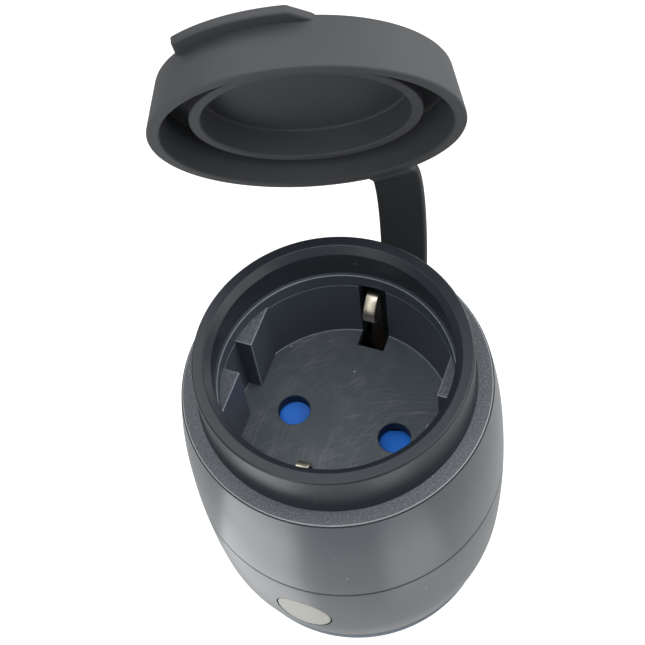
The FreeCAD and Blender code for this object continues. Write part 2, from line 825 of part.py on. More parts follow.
def make_carrier():
    """The insulating block that holds the two contacts over the board."""
    half_x, half_y = s.carrier_length / 2, s.carrier_width / 2
    block = box("carrier_block", (-half_x, half_x), (-half_y, half_y), (board_top, carrier_top))
    holes = [cylinder("pivot_socket", s.pivot_radius + s.fit_gap, 0, 0,
                      well_under - s.pivot_length - s.fit_gap, carrier_top + SPARE),
             cylinder("spring_room", s.spring_coil + s.spring_wire + s.shutter_gap, 0, 0,
                      spring_low - s.fit_gap, carrier_top + SPARE)]
    for index, side in enumerate((1, -1)):
        middle = side * pin_x
        chamber_half = s.chamber_length / 2
        wide = s.chamber_width / 2
        holes.append(box("chamber%d" % index, (middle - chamber_half, middle + chamber_half), (-wide, wide),
                         (board_top - SPARE, carrier_top - s.carrier_lid)))
        holes.append(cylinder("entry%d" % index, s.pin_hole_radius, middle, 0,
                              carrier_top - s.carrier_lid - SPARE, carrier_top + SPARE))
    half_clip = s.clip_width / 2 + s.shutter_gap
    half_strip = s.earth_strip / 2 + s.shutter_gap
    holes.append(box("bridge_slot", (-half_clip, half_clip), (-half_y - SPARE, half_y + SPARE),
                     (bridge_height - half_strip, bridge_height + half_strip)))
    node("contact_carrier", cut("contact_carrier", block, holes))


def make_contacts():
    """The two spring contacts that grip the pins."""
    top = carrier_top - s.carrier_lid - s.shutter_gap
    for label, side in (("live_contact", 1), ("neutral_contact", -1)):
        middle = side * pin_x
        grip = s.contact_grip + s.contact_strip / 2
        wide = grip + s.contact_strip
        path = [
            (middle - wide, top),
            (middle - grip, top - s.contact_width / 3),
            (middle - wide, contact_heel),
            (middle + wide, contact_heel),
            (middle + grip, top - s.contact_width / 3),
            (middle + wide, top),
        ]
        spring = bent_strip(label + "_spring", path, s.contact_strip, s.contact_width, "X")
        half = s.contact_strip
        tail = box(label + "_tail", (middle - half, middle + half), (-half, half), (board_top, contact_heel))
        node(label, fuse(label, [spring, tail]))


def make_board():
    """The round circuit board, notched for the screw tubes."""
    disc = cylinder("board_disc", s.board_radius, 0, 0, board_low, board_top)
    holes = []
    for index, turn in enumerate(ring_of(HOUSING_SCREWS, FIRST_HOUSING_SCREW)):
        x, y = polar(screw_place, turn)
        holes.append(cylinder("board_notch%d" % index, s.tube_radius + s.strap_gap, x, y,
                              board_low - SPARE, board_top + SPARE))
    for index, side in enumerate((1, -1)):
        holes.append(cylinder("board_hole%d" % index, s.small_screw_radius + s.fit_gap, side * s.post_place, 0,
                              board_low - SPARE, board_top + SPARE))
    half = s.clip_width / 2 + s.shutter_gap
    thick = s.earth_strip / 2 + s.shutter_gap
    holes.append(box("link_slot", (-half, half), (s.link_place - thick, s.link_place + thick),
                     (board_low - SPARE, board_top + SPARE)))
    node("circuit_board", cut("circuit_board", disc, holes))


def make_components():
    """The components that stand on the board."""
    half_long, half_wide = s.relay_length / 2, s.relay_width / 2
    node("relay", box("relay", (-half_long, half_long), (s.relay_place - half_wide, s.relay_place + half_wide),
                      (board_top, bridge_height - s.relay_gap)))
    film_y = -s.carrier_width / 2 - s.shell_wall - s.film_width / 2
    node("film_capacitor", box("film_capacitor", (-s.film_place - s.film_length / 2,
                                                  -s.film_place + s.film_length / 2),
                               (film_y - s.film_width / 2, film_y + s.film_width / 2),
                               (board_top, board_top + s.film_height)))
    can_x, can_y = polar(s.can_place, CAN_ANGLE)
    can = cylinder("storage_can", s.can_radius, can_x, can_y, board_top, board_top + s.can_height)
    node("storage_capacitor", can)
    fuse_x, fuse_y = polar(s.fuse_place, FUSE_ANGLE)
    node("fuse", cylinder("fuse", s.fuse_radius, fuse_x, fuse_y, board_top, board_top + s.fuse_height))
    disc_x = -s.relay_length / 2 - s.varistor_radius - s.part_gap
    disc_y = s.carrier_width / 2 + s.part_gap
    disc = level_cylinder("varistor_disc", s.varistor_radius, disc_x, board_top + s.varistor_radius + s.part_gap,
                          disc_y, disc_y + s.varistor_thick)
    legs = [box("varistor_leg%d" % index, (disc_x + shift - s.aerial_radius, disc_x + shift + s.aerial_radius),
                (disc_y + s.varistor_thick / 3, disc_y + s.varistor_thick * 2 / 3),
                (board_top, board_top + s.varistor_radius))
            for index, shift in enumerate((-s.varistor_radius / 2, s.varistor_radius / 2))]
    node("varistor", fuse("varistor", [disc] + legs))
    radio_x = -s.switch_side / 2 - s.part_gap
    radio_y = film_y - s.film_width / 2 - s.part_gap
    node("radio_module", box("radio_module", (radio_x - s.radio_length, radio_x), (radio_y - s.radio_thick, radio_y),
                             (board_top, board_top + s.radio_height)))
    aerial_y = radio_y - s.radio_thick - s.aerial_radius
    node("aerial", cylinder("aerial", s.aerial_radius, radio_x - s.radio_length / 2, aerial_y,
                            board_top, board_top + s.aerial_height))


def make_button():
    """The oval button, its rubber seal, and the switch that it presses."""
    prism = oval("button_prism", s.button_width, s.button_height, button_centre,
                 -s.belly_radius - SPARE, -s.button_seat + s.button_seal_thick)
    shank = common("button_shank", prism, barrel_form("button_trim", s.button_proud))
    lip_front = -s.button_seat + s.button_seal_thick + s.fit_gap
    lip = oval("button_flange", s.button_width + 2 * s.button_lip, s.button_height + 2 * s.button_lip,
               button_centre, lip_front, lip_front + s.button_lip_thick)
    neck = oval("button_neck", s.button_width, s.button_height, button_centre,
                -s.button_seat, lip_front + s.button_lip_thick / 2)
    node("learn_button", fuse("learn_button", [shank, neck, lip]))
    outer = oval("seal_outer", s.button_width + 2 * (s.button_gap + s.button_guide),
                 s.button_height + 2 * (s.button_gap + s.button_guide), button_centre,
                 -s.button_seat, -s.button_seat + s.button_seal_thick)
    inner = oval("seal_inner", s.button_width + 2 * s.button_gap, s.button_height + 2 * s.button_gap,
                 button_centre, -s.button_seat - SPARE, -s.button_seat + s.button_seal_thick + SPARE)
    node("button_seal", cut("button_seal", outer, [inner]))
    half = s.switch_side / 2
    case = box("switch_block", (-half, half), (-s.switch_face, -s.switch_face + s.switch_deep),
               (board_top, button_centre + half))
    bore = level_cylinder("switch_bore", s.plunger_radius + s.running_gap, 0, button_centre,
                          -s.switch_face - SPARE, -s.switch_face + s.button_travel * 2)
    node("tact_switch", cut("tact_switch", case, [bore]))
    node("switch_plunger", level_cylinder("switch_plunger", s.plunger_radius, 0, button_centre,
                                          lip_front + s.button_lip_thick + s.fit_gap,
                                          -s.switch_face + s.button_travel / 2))


def make_plug():
    """The plug's base, with its flange, board posts, key ways and passages."""
    outline = [
        corner(0, 0),
        corner(s.plug_radius - s.plug_edge, 0, s.plug_edge, 1),
        corner(s.plug_radius, s.plug_edge),
        corner(s.plug_radius, floor_top),
        corner(plug_flange_radius, floor_top),
        corner(plug_flange_radius, plug_flange_top),
        corner(0, plug_flange_top),
    ]
    parts = [turned("plug_form", outline)]
    holes = []
    for index, side in enumerate((1, -1)):
        middle = side * pin_x
        collar_low = s.pin_collar_height
        collar_high = collar_low + s.pin_collar_thick
        passages = ((s.pin_root, -SPARE, collar_low), (s.pin_collar, collar_low, collar_high),
                    (s.pin_shank, collar_high - SPARE, plug_flange_top + SPARE))
        for step, (radius, low, high) in enumerate(passages):
            holes.append(cylinder("pin_way%d%d" % (index, step), radius + s.fit_gap, middle, 0, low, high))
        parts.append(cylinder("post%d" % index, s.post_radius, side * s.post_place, 0, plug_flange_top - SPARE,
                              board_low))
        holes.append(cylinder("post_pilot%d" % index, s.small_screw_radius + s.fit_gap, side * s.post_place, 0,
                              plug_flange_top, board_low + SPARE))
        half = s.plug_earth_width / 2 + s.strap_gap
        groove = plug_earth_place - s.earth_strip / 2 - s.fit_gap
        deep = plug_flange_radius + SPARE - groove
        low_y = groove if side > 0 else -groove - deep
        holes.append(box("earth_groove%d" % index, (-half, half), (low_y, low_y + deep),
                         (size(-SPARE), plug_flange_top + SPARE)))
        for count, along in enumerate((1, -1)):
            flat_x = plug_flat if side > 0 else -plug_flat - s.plug_radius
            flat_y = s.plug_key / 2 if along > 0 else -s.plug_key / 2 - s.rib_reach
            holes.append(box("plug_flat%d%d" % (index, count), (flat_x, flat_x + s.plug_radius),
                             (flat_y, flat_y + s.rib_reach), (size(-SPARE), s.plug_flat_rise)))
    for index, turn in enumerate(ring_of(HOUSING_SCREWS, FIRST_HOUSING_SCREW)):
        x, y = polar(screw_place, turn)
        holes.append(cylinder("flange_notch%d" % index, s.tube_radius + s.strap_gap, x, y,
                              floor_top, plug_flange_top + SPARE))
    sleeve = s.earth_hole_radius + s.sleeve_wall + s.fit_gap
    holes.append(cylinder("sleeve_way", sleeve, 0, s.earth_hole_place, s.sleeve_start, plug_flange_top + SPARE))
    holes.append(cylinder("sleeve_mouth", s.earth_hole_radius, 0, s.earth_hole_place, -SPARE, s.sleeve_start))
    body = fuse("plug_solid", parts)
    node("plug_base", cut("plug_base", body, holes))


def make_plug_metal():
    """The plug's pins, the sleeve for a socket's earth pin, and the earth strip."""
    collar_low = s.pin_collar_height
    collar_high = collar_low + s.pin_collar_thick
    for label, side in (("live_pin", 1), ("neutral_pin", -1)):
        outline = [
            corner(0, -s.pin_length, s.pin_radius, 1),
            corner(s.pin_radius, s.pin_radius - s.pin_length),
            corner(s.pin_radius, 0),
            corner(s.pin_root, 0),
            corner(s.pin_root, collar_low),
            corner(s.pin_collar, collar_low),
            corner(s.pin_collar, collar_high),
            corner(s.pin_shank, collar_high),
            corner(s.pin_shank, board_low),
            corner(0, board_low),
        ]
        pin = turned(label, outline)
        pin.setExpression("Placement.Base.x", (side * pin_x).text)
        node(label, pin)
    strip_low = plug_earth_top - s.earth_strip / 2
    outer = cylinder("sleeve_tube", s.earth_hole_radius + s.sleeve_wall, 0, s.earth_hole_place,
                     s.sleeve_start, strip_low)
    bore = cylinder("sleeve_bore", s.earth_hole_radius, 0, s.earth_hole_place, s.sleeve_start - SPARE,
                    strip_low - s.sleeve_wall)
    node("earth_pin_sleeve", cut("earth_pin_sleeve", outer, [bore]))
    leg_low = s.plug_edge * 2
    bow = plug_earth_place + s.plug_earth_bow
    middle = s.base_height / 2
    side_path = [(plug_earth_place, leg_low), (bow, middle - s.plug_earth_bow * 4),
                 (bow, middle + s.plug_earth_bow * 4), (plug_earth_place, s.base_height),
                 (plug_earth_place, plug_earth_top)]
    path = side_path + [(-across, high) for across, high in side_path[::-1]]
    node("plug_earth_strip", bent_strip("plug_earth_strip", path, s.earth_strip, s.plug_earth_width, "Y"))
    link_low = plug_earth_top + s.earth_strip / 2
    link_high = bridge_height - s.earth_strip / 2
    half = s.clip_width / 2
    node("earth_link", box("earth_link", (-half, half),
                           (s.link_place - s.earth_strip / 2, s.link_place + s.earth_strip / 2),
                           (link_low, link_high)))


def make_earth_clips():
    """The sprung earth clips of the socket, joined by a bridge through the carrier."""
    shoulder = clip_top - s.clip_width / 4
    half_path = [
        (size(0), bridge_height),
        (s.clip_place, bridge_height),
        (s.clip_place, shoulder),
        (s.clip_place - s.earth_strip, clip_top),
        (s.clip_place - 3 * s.earth_strip, clip_top),
        (s.clip_place - 4 * s.earth_strip, shoulder),
        (s.clip_bulge + s.earth_strip / 2, clip_bulge_height + 2 * s.earth_strip),
        (s.clip_bulge + s.earth_strip / 2, clip_bulge_height - 2 * s.earth_strip),
        (s.clip_tip, clip_tip_height),
    ]
    path = [(-across, high) for across, high in half_path[:0:-1]] + half_path[1:]
    node("earth_clips", bent_strip("earth_clips", path, s.earth_strip, s.clip_width, "Y"))


def make_plug_seal():
    """The soft ring under the barrel that closes on the wall socket's face."""
    low = s.base_height - s.plug_seal_thick
    inner = s.plug_radius + s.plug_fit
    lip = s.plug_seal_thick / 3
    outline = [
        corner(inner, s.base_height),
        corner(inner, low + lip),
        corner(inner + lip, low + lip),
        corner(plug_seal_radius - 3 * lip, low + lip),
        corner(plug_seal_radius - 2 * lip, low),
        corner(plug_seal_radius - lip, low, lip, 1),
        corner(plug_seal_radius, low + lip),
        corner(plug_seal_radius, s.base_height),
    ]
    node("plug_seal", turned("plug_seal", outline))


def make_screws():
    """The screws, each kind one node of separate solids."""
    housing = []
    for index, turn in enumerate(ring_of(HOUSING_SCREWS, FIRST_HOUSING_SCREW)):
        x, y = polar(screw_place, turn)
        length = boss_top - s.screw_end - s.base_height - s.screw_head
        housing.append(screw("housing_screw%d" % index, x, y, s.base_height, s.screw_head_radius, s.screw_head,
                             s.screw_radius, length))
    node("housing_screws", group("housing_screws", housing))
    insert = []
    for index, turn in enumerate(ring_of(INSERT_SCREWS, FIRST_INSERT_SCREW)):
        x, y = polar(s.ear_place, turn)
        insert.append(screw("insert_screw%d" % index, x, y, well_under - s.small_head, s.small_head_radius,
                            s.small_head, s.small_screw_radius, s.small_screw_length + s.well_floor_wall))
    node("insert_screws", group("insert_screws", insert))
    board = [screw("board_screw%d" % index, side * s.post_place, 0, board_top, s.small_head_radius, s.small_head,
                   s.small_screw_radius, s.board_thick + s.small_screw_length / 2, up=False)
             for index, side in enumerate((1, -1))]
    node("board_screws", group("board_screws", board))


def shut_placement(mouth_height):
    """Where the cap stands when it is square on the socket with its mouth at a height."""
    turn = Rotation(Vector(0, 0, 1), s.strap_azimuth.value)
    return Placement(Vector(0, 0, mouth_height), turn)


def open_placement():
    """Where the cap stands in the open pose: lifted off the collar and swung back."""
    azimuth = math.radians(s.swing_azimuth.value)
    rise = math.radians(s.swing_rise.value)
    axis = Vector(math.cos(azimuth) * math.cos(rise), math.sin(azimuth) * math.cos(rise), math.sin(rise))
    reach = s.swing_reach.value
    pivot = Vector(-reach * math.sin(azimuth), reach * math.cos(azimuth), swing_height.value)
    lifted = shut_placement(cap_shut.value + s.cap_press.value)
    swing = Placement(Vector(0, 0, 0), Rotation(axis, -s.swing_open.value), pivot)
    return swing.multiply(lifted)


def make_cap():
    """The rubber cap: crown, flared skirt, sealing ring, pull tab and the ear of its strap."""
    crown_low = s.cap_height - s.cap_crown
    ring_inner = s.cap_ring_outer - s.cap_ring_wall
    lip = s.cap_edge / 2
    outline = [
        corner(0, s.cap_height),
        corner(0, crown_low),
        corner(ring_inner, crown_low),
        corner(ring_inner, s.cap_ring_recess),
        corner(s.cap_ring_outer, s.cap_ring_recess),
        corner(s.cap_ring_outer, crown_low),
        corner(s.cap_top_radius - s.cap_skirt_wall, crown_low),
        corner(s.cap_skirt_bore, lip),
        corner(s.cap_skirt_bore + lip, 0),
        corner(s.cap_mouth_radius - lip, 0, lip, 1),
        corner(s.cap_mouth_radius, lip),
        corner(s.cap_flare_radius, s.cap_flare_height),
        corner(s.cap_top_radius, s.cap_height - s.cap_edge, s.cap_edge, 1),
        corner(s.cap_top_radius - s.cap_edge, s.cap_height),
    ]
    dome = turned("cap_form", outline)
    half = s.strap_width / 2
    ear = box("cap_ear", (size(0), s.strap_ear - s.cap_mouth_radius + 3 * lip), (size(0), s.strap_width),
              (size(0), s.strap_thick))
    ear_turn = math.radians(s.strap_ear_turn.value)
    ear.Placement = Placement(Vector(0, 0, 0), Rotation(Vector(0, 0, 1), s.strap_ear_turn.value))
    start_x, start_y = polar(s.cap_mouth_radius - 3 * lip, s.strap_ear_turn.value)
    place(ear, start_x + half * math.sin(ear_turn), start_y - half * math.cos(ear_turn), 0)
    cap = fuse("flip_cap", [dome, ear, make_tab()])
    cap.Placement = open_placement()
    node("flip_cap", cap)


def make_tab():
    """The pull tab: the cap's back carried outwards over an arc, and slanted at both ends,
    where it runs back into the skirt."""
    first = s.tab_turn.value - s.tab_sweep.value / 2
    last = s.tab_turn.value + s.tab_sweep.value / 2
    inner = s.cap_top_radius - s.tab_thick
    outline = [
        corner(*polar(s.cap_top_radius, first)),
        corner(*polar(s.tab_radius, first + s.tab_lead.value), s.tab_radius, 1),
        corner(*polar(s.tab_radius, last - s.tab_slant.value)),
        corner(*polar(s.cap_top_radius, last)),
        corner(*polar(inner, last), inner, -1),
        corner(*polar(inner, first)),
    ]
    return plate("cap_tab", outline, s.cap_height - s.tab_thick, s.cap_height)


def curve_point(controls, share):
    """A point of a cubic curve, and its direction, at a share of its length."""
    rest = 1.0 - share
    weights = (rest ** 3, 3 * rest * rest * share, 3 * rest * share * share, share ** 3)
    point = Vector(0, 0, 0)
    for control, weight in zip(controls, weights):
        point = point + control * weight
    slopes = (-3 * rest * rest, 3 * rest * rest - 6 * rest * share, 6 * rest * share - 3 * share * share,
              3 * share * share)
    ahead = Vector(0, 0, 0)
    for control, slope in zip(controls, slopes):
        ahead = ahead + control * slope
    return point, ahead.normalize()


def make_strap():
    """The strap from the seam to the cap, a flat band that turns a little on its way."""
    cap_place = open_placement()
    thick = s.strap_thick.value
    half = s.strap_width.value / 2
    foot = Vector(s.strap_shift.value, s.strap_start.value, strap_low.value + thick / 2)
    ear = Rotation(Vector(0, 0, 1), s.strap_ear_turn.value)
    arrival = cap_place.multVec(ear.multVec(Vector(s.strap_ear.value, 0, thick / 2)))
    outward = cap_place.Rotation.multVec(ear.multVec(Vector(1, 0, 0)))
    across_foot = Vector(1, 0, 0)
    across_cap = cap_place.Rotation.multVec(ear.multVec(Vector(0, -1, 0)))
    controls = (foot, foot + Vector(0, s.strap_leave.value, 0), arrival + outward * s.strap_arrive.value, arrival)
    sections = []
    for index in range(STRAP_SECTIONS + 1):
        share = index / STRAP_SECTIONS
        point, ahead = curve_point(controls, share)
        across = across_foot * (1 - share) + across_cap * share
        across = (across - ahead * across.dot(ahead)).normalize()
        out = across.cross(ahead)
        corners = [point + across * (half * a) + out * (thick / 2 * b)
                   for a, b in ((-1, -1), (1, -1), (1, 1), (-1, 1))]
        sections.append(Part.makePolygon(corners + corners[:1]))
    strap = doc.addObject("Part::Feature", "cap_strap")
    strap.Shape = Part.makeLoft(sections, True, True)
    node("cap_strap", strap)
    half_width = s.strap_width / 2
    high = strap_low + s.strap_thick
    tongue = box("strap_tongue", (s.strap_shift - half_width, s.strap_shift + half_width),
                 (s.strap_head_outer - SPARE, s.strap_start), (strap_low, high))
    half_head = s.strap_head_width / 2
    head = box("strap_head", (s.strap_shift - half_head, s.strap_shift + half_head),
               (s.strap_head_inner, s.strap_head_outer), (high - s.strap_head_height, high))
    node("strap_foot", fuse("strap_foot", [tongue, head]))


def check_document():
    """Stop if any object failed or any piece has no valid shape."""
    doc.recompute()
    failed = [item.Name for item in doc.Objects if "Invalid" in item.State or "Error" in item.State]
    if failed:
        raise RuntimeError("objects failed: " + ", ".join(failed))
    for label, item in nodes.items():
        if item.Shape.isNull() or not item.Shape.isValid() or not item.Shape.Solids:
            raise RuntimeError("no valid solid in " + label)


def export_nodes():
    """Write each piece to its own file and print its size."""
    os.makedirs("parts", exist_ok=True)
    for label, item in nodes.items():
        item.Shape.exportStep("parts/%s.step" % label)
        bounds = item.Shape.BoundBox
        print("%-18s solids %d volume %9.1f  z %7.2f to %7.2f" % (
            label, len(item.Shape.Solids), item.Shape.Volume, bounds.ZMin, bounds.ZMax))


make_upper_housing()
make_lower_housing()
make_seam_gasket()
make_collar()
make_insert()
make_shutter()
make_shutter_spring()
make_carrier()
make_contacts()
make_board()
make_components()
make_button()
make_plug()
make_plug_metal()
make_earth_clips()
make_plug_seal()
make_screws()
make_cap()
make_strap()
check_document()
export_nodes()
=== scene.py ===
"""Looks for a plug-in outdoor socket that is switched by radio: barrel, collar, well, cap and plug."""

import logging
import math
from dataclasses import dataclass, field
from enum import Enum
from typing import Iterable, Sequence

import bmesh
import bpy
from mathutils import Matrix, Vector

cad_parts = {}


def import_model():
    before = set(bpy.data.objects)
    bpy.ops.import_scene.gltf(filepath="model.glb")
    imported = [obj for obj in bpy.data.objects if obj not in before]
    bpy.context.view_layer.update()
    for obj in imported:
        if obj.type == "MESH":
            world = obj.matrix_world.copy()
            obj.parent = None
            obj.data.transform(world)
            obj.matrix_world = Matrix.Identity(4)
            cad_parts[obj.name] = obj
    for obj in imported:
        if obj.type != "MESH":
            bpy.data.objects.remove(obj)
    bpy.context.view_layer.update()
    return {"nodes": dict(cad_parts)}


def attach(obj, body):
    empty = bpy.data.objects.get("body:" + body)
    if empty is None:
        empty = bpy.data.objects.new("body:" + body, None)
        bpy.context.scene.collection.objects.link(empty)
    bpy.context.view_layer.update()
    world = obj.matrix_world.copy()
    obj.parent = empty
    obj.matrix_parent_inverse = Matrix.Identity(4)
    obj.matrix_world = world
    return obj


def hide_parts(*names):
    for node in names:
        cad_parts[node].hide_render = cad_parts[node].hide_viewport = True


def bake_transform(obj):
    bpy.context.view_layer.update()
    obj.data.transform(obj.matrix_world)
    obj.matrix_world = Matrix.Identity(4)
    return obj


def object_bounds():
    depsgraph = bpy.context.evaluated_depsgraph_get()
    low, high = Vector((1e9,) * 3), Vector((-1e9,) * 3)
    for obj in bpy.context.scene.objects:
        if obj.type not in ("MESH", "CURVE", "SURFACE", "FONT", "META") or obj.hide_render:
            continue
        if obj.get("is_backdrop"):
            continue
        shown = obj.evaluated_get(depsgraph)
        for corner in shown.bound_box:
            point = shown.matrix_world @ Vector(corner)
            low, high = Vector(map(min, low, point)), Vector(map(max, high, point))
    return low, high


LOG = logging.getLogger("socket")
MM = 0.001
# Sides of a whole turn, then in millimetres: corners this near are merged, a corner this near lies on a
# ring, and tools reach this far past what they cut.
ROUND = 176
MERGED = 0.0005
NEAR = 0.002
SPARE = 1.0
Point = tuple[float, float]
Place = tuple[float, float, float]
Colour = tuple[float, float, float, float]
Form = bmesh.types.BMesh


class Grain(Enum):
    """How the mould or tool left a surface."""

    SMOOTH = "smooth"
    SPARKED = "spark eroded"
    SCRATCHED = "scratched by plugs"
    RUBBED = "rubbed rubber"
    DRAWN = "drawn metal"


class Carving(Enum):
    """What tools do to the form that they are used on."""

    CUT = "DIFFERENCE"
    ADD = "UNION"


class Maths:
    """A shader socket that adds Math nodes when it is used in an expression."""

    def __init__(self, tree: bpy.types.NodeTree, socket: bpy.types.NodeSocket) -> None:
        """Keep the tree and the socket."""
        self.tree = tree
        self.socket = socket

    def _with(self, operation: str, *values: "Maths | float") -> "Maths":
        """Add one Math node.

        Args:
            operation: the node's operation.
            values: its inputs in order.

        Returns:
            The node's output.
        """
        node = self.tree.nodes.new("ShaderNodeMath")
        node.operation = operation
        for index, value in enumerate(values):
            if isinstance(value, Maths):
                self.tree.links.new(value.socket, node.inputs[index])
            else:
                node.inputs[index].default_value = value
        return Maths(self.tree, node.outputs[0])

    def __add__(self, other: "Maths | float") -> "Maths":
        """Sum."""
        return self._with("ADD", self, other)

    def __sub__(self, other: "Maths | float") -> "Maths":
        """Difference."""
        return self._with("SUBTRACT", self, other)

    def __rsub__(self, other: float) -> "Maths":
        """Difference from a number."""
        return self._with("SUBTRACT", other, self)

    def __mul__(self, other: "Maths | float") -> "Maths":
        """Product."""
        return self._with("MULTIPLY", self, other)

    __radd__ = __add__
    __rmul__ = __mul__

    def above(self, level: float, soft: float) -> "Maths":
        """Nought below a level, and one past a soft step over it."""
        ramp = self._with("DIVIDE", self - level, soft)
        return ramp._with("MINIMUM", ramp._with("MAXIMUM", ramp, 0.0), 1.0)

    def root(self) -> "Maths":
        """Square root."""
        return self._with("SQRT", self)

    def over(self, other: "Maths") -> "Maths":
        """Quotient."""
        return self._with("DIVIDE", self, other)


class Shader:
    """Builds one material's nodes."""

    FIRST_COLOUR, SECOND_COLOUR, MIXED_COLOUR = 6, 7, 2

    def __init__(self, name: str) -> None:
        """Start an empty material with its principled shader.

        Args:
            name: the material's name.
        """
        self.material = bpy.data.materials.new(name)
        self.material.use_nodes = True
        self.tree = self.material.node_tree
        self.tree.nodes.clear()
        output = self.tree.nodes.new("ShaderNodeOutputMaterial")
        self.surface = self.tree.nodes.new("ShaderNodeBsdfPrincipled")
        self.tree.links.new(self.surface.outputs[0], output.inputs[0])
        self.place = self.node("ShaderNodeTexCoord", output="Object")

    def node(self, kind: str, settings: dict[str, object] | None = None,
             inputs: dict[str | int, object] | None = None, output: str | int = 0) -> Maths:
        """Add a node.

        Args:
            kind: the node's type.
            settings: its properties.
            inputs: values or links of its sockets, by name or number.
            output: the output to give back.

        Returns:
            The output, ready for maths.
        """
        node = self.tree.nodes.new(kind)
        for name, value in (settings or {}).items():
            setattr(node, name, value)
        for name, value in (inputs or {}).items():
            self.feed(node.inputs[name], value)
        return Maths(self.tree, node.outputs[output])

    def feed(self, socket: bpy.types.NodeSocket, value: object) -> None:
        """Link or set one input socket.

        Args:
            socket: the input.
            value: a number, a colour or a link.
        """
        if isinstance(value, Maths):
            self.tree.links.new(value.socket, socket)
        else:
            socket.default_value = value

    def set(self, **values: object) -> None:
        """Set or link sockets of the principled shader, with _ for spaces in their names."""
        for name, value in values.items():
            self.feed(self.surface.inputs[name.replace("_", " ")], value)

    def noise(self, scale: float, detail: float, rough: float,
              stretch: Place = (1.0, 1.0, 1.0), shift: Place = (0.0, 0.0, 0.0)) -> Maths:
        """Noise in object space.

        Args:
            scale: cells to a metre.
            detail: octaves.
            rough: strength of each next octave.
            stretch: scale along each axis.
            shift: offset in metres.

        Returns:
            The noise, about 0 to 1.
        """
        placed = self.node("ShaderNodeMapping", {"vector_type": "POINT"}, {
            "Vector": self.place, "Location": shift, "Scale": stretch})
        return self.node("ShaderNodeTexNoise", {"noise_dimensions": "3D"}, {
            "Vector": placed, "Scale": scale, "Detail": detail, "Roughness": rough})

    def arcs(self, middle: Point, across: float, along: float, level: float) -> Maths:
        """Broken thin arcs about a point.

        Args:
            middle: the point, in metres.
            across: cells to a metre across the arcs.
            along: cells to a radian along them.
            level: the noise level past which an arc shows.

        Returns:
            One on an arc, nought elsewhere.
        """
        x = self.node("ShaderNodeSeparateXYZ", {}, {"Vector": self.place}, "X") - middle[0]
        y = self.node("ShaderNodeSeparateXYZ", {}, {"Vector": self.place}, "Y") - middle[1]
        reach = (x * x + y * y).root()
        bent = self.node("ShaderNodeCombineXYZ", {}, {
            "X": reach * across, "Y": x.over(reach) * along, "Z": y.over(reach) * along})
        strands = self.node("ShaderNodeTexNoise", {"noise_dimensions": "3D"}, {
            "Vector": bent, "Scale": 1.0, "Detail": 3.0, "Roughness": 0.68})
        return strands.above(level, soft=0.1)

    def specks(self, scale: float, size: float, share: float) -> Maths:
        """Scattered small dots.

        Args:
            scale: cells to a metre.
            size: a dot's radius in cells.
            share: how many cells have one.

        Returns:
            One on a dot, nought elsewhere.
        """
        settings = {"feature": "F1", "voronoi_dimensions": "3D"}
        inputs = {"Vector": self.place, "Scale": scale}
        distance = self.node("ShaderNodeTexVoronoi", settings, inputs, "Distance")
        chance = self.node("ShaderNodeTexVoronoi", settings, inputs, "Color")
        pick = self.node("ShaderNodeSeparateColor", {}, {"Color": chance}, "Red")
        core, fade = size * 0.6, size * 0.4
        return (1.0 - distance.above(core, fade)) * pick.above(1.0 - share, soft=0.001)

    def blend(self, share: Maths, first: object, second: object) -> Maths:
        """Mix two colours.

        Args:
            share: how much of the second.
            first: colour or link.
            second: colour or link.

        Returns:
            The mixed colour.
        """
        inputs = {"Factor": share, self.FIRST_COLOUR: first, self.SECOND_COLOUR: second}
        return self.node("ShaderNodeMix", {"data_type": "RGBA"}, inputs, self.MIXED_COLOUR)

    def bump(self, height: Maths, strength: float, depth: float) -> None:
        """Feed the surface's normal from a height, whose depth is in metres."""
        self.set(Normal=self.node("ShaderNodeBump", {}, {
            "Height": height, "Strength": strength, "Distance": depth}))


def tone(red: float, green: float, blue: float) -> Colour:
    """A colour given in display levels of 0 to 255, made linear.

    Args:
        red: its red level.
        green: its green level.
        blue: its blue level.

    Returns:
        The linear colour.
    """
    def linear(level: float) -> float:
        """One channel."""
        share = level / 255.0
        return share / 12.92 if share <= 0.04045 else ((share + 0.055) / 1.055) ** 2.4
    return linear(red), linear(green), linear(blue), 1.0


@dataclass(frozen=True)
class Finish:
    """A surface finish: colour, gloss and the grain that its mould gave it."""

    name: str
    colour: Colour
    rough: float = 0.45
    grain: Grain = Grain.SMOOTH
    metal: float = 0.0
    mottle: float = 0.08
    dust: float = 0.0
    slot: str = "shell"
    specular: float = 0.5

    def shaded(self, factor: float) -> Colour:
        """The finish's colour, made darker or lighter."""
        return self.colour[0] * factor, self.colour[1] * factor, self.colour[2] * factor, 1.0

    def build(self) -> bpy.types.Material:
        """Make the material.

        Returns:
            The material.
        """
        coat = Coat(self)
        grains = {Grain.SMOOTH: coat.smooth, Grain.SPARKED: coat.sparked, Grain.SCRATCHED: coat.scratched,
                  Grain.RUBBED: coat.rubbed, Grain.DRAWN: coat.drawn}
        grains[self.grain]()
        if self.dust > 0.0:
            coat.dusty()
        return coat.dried()


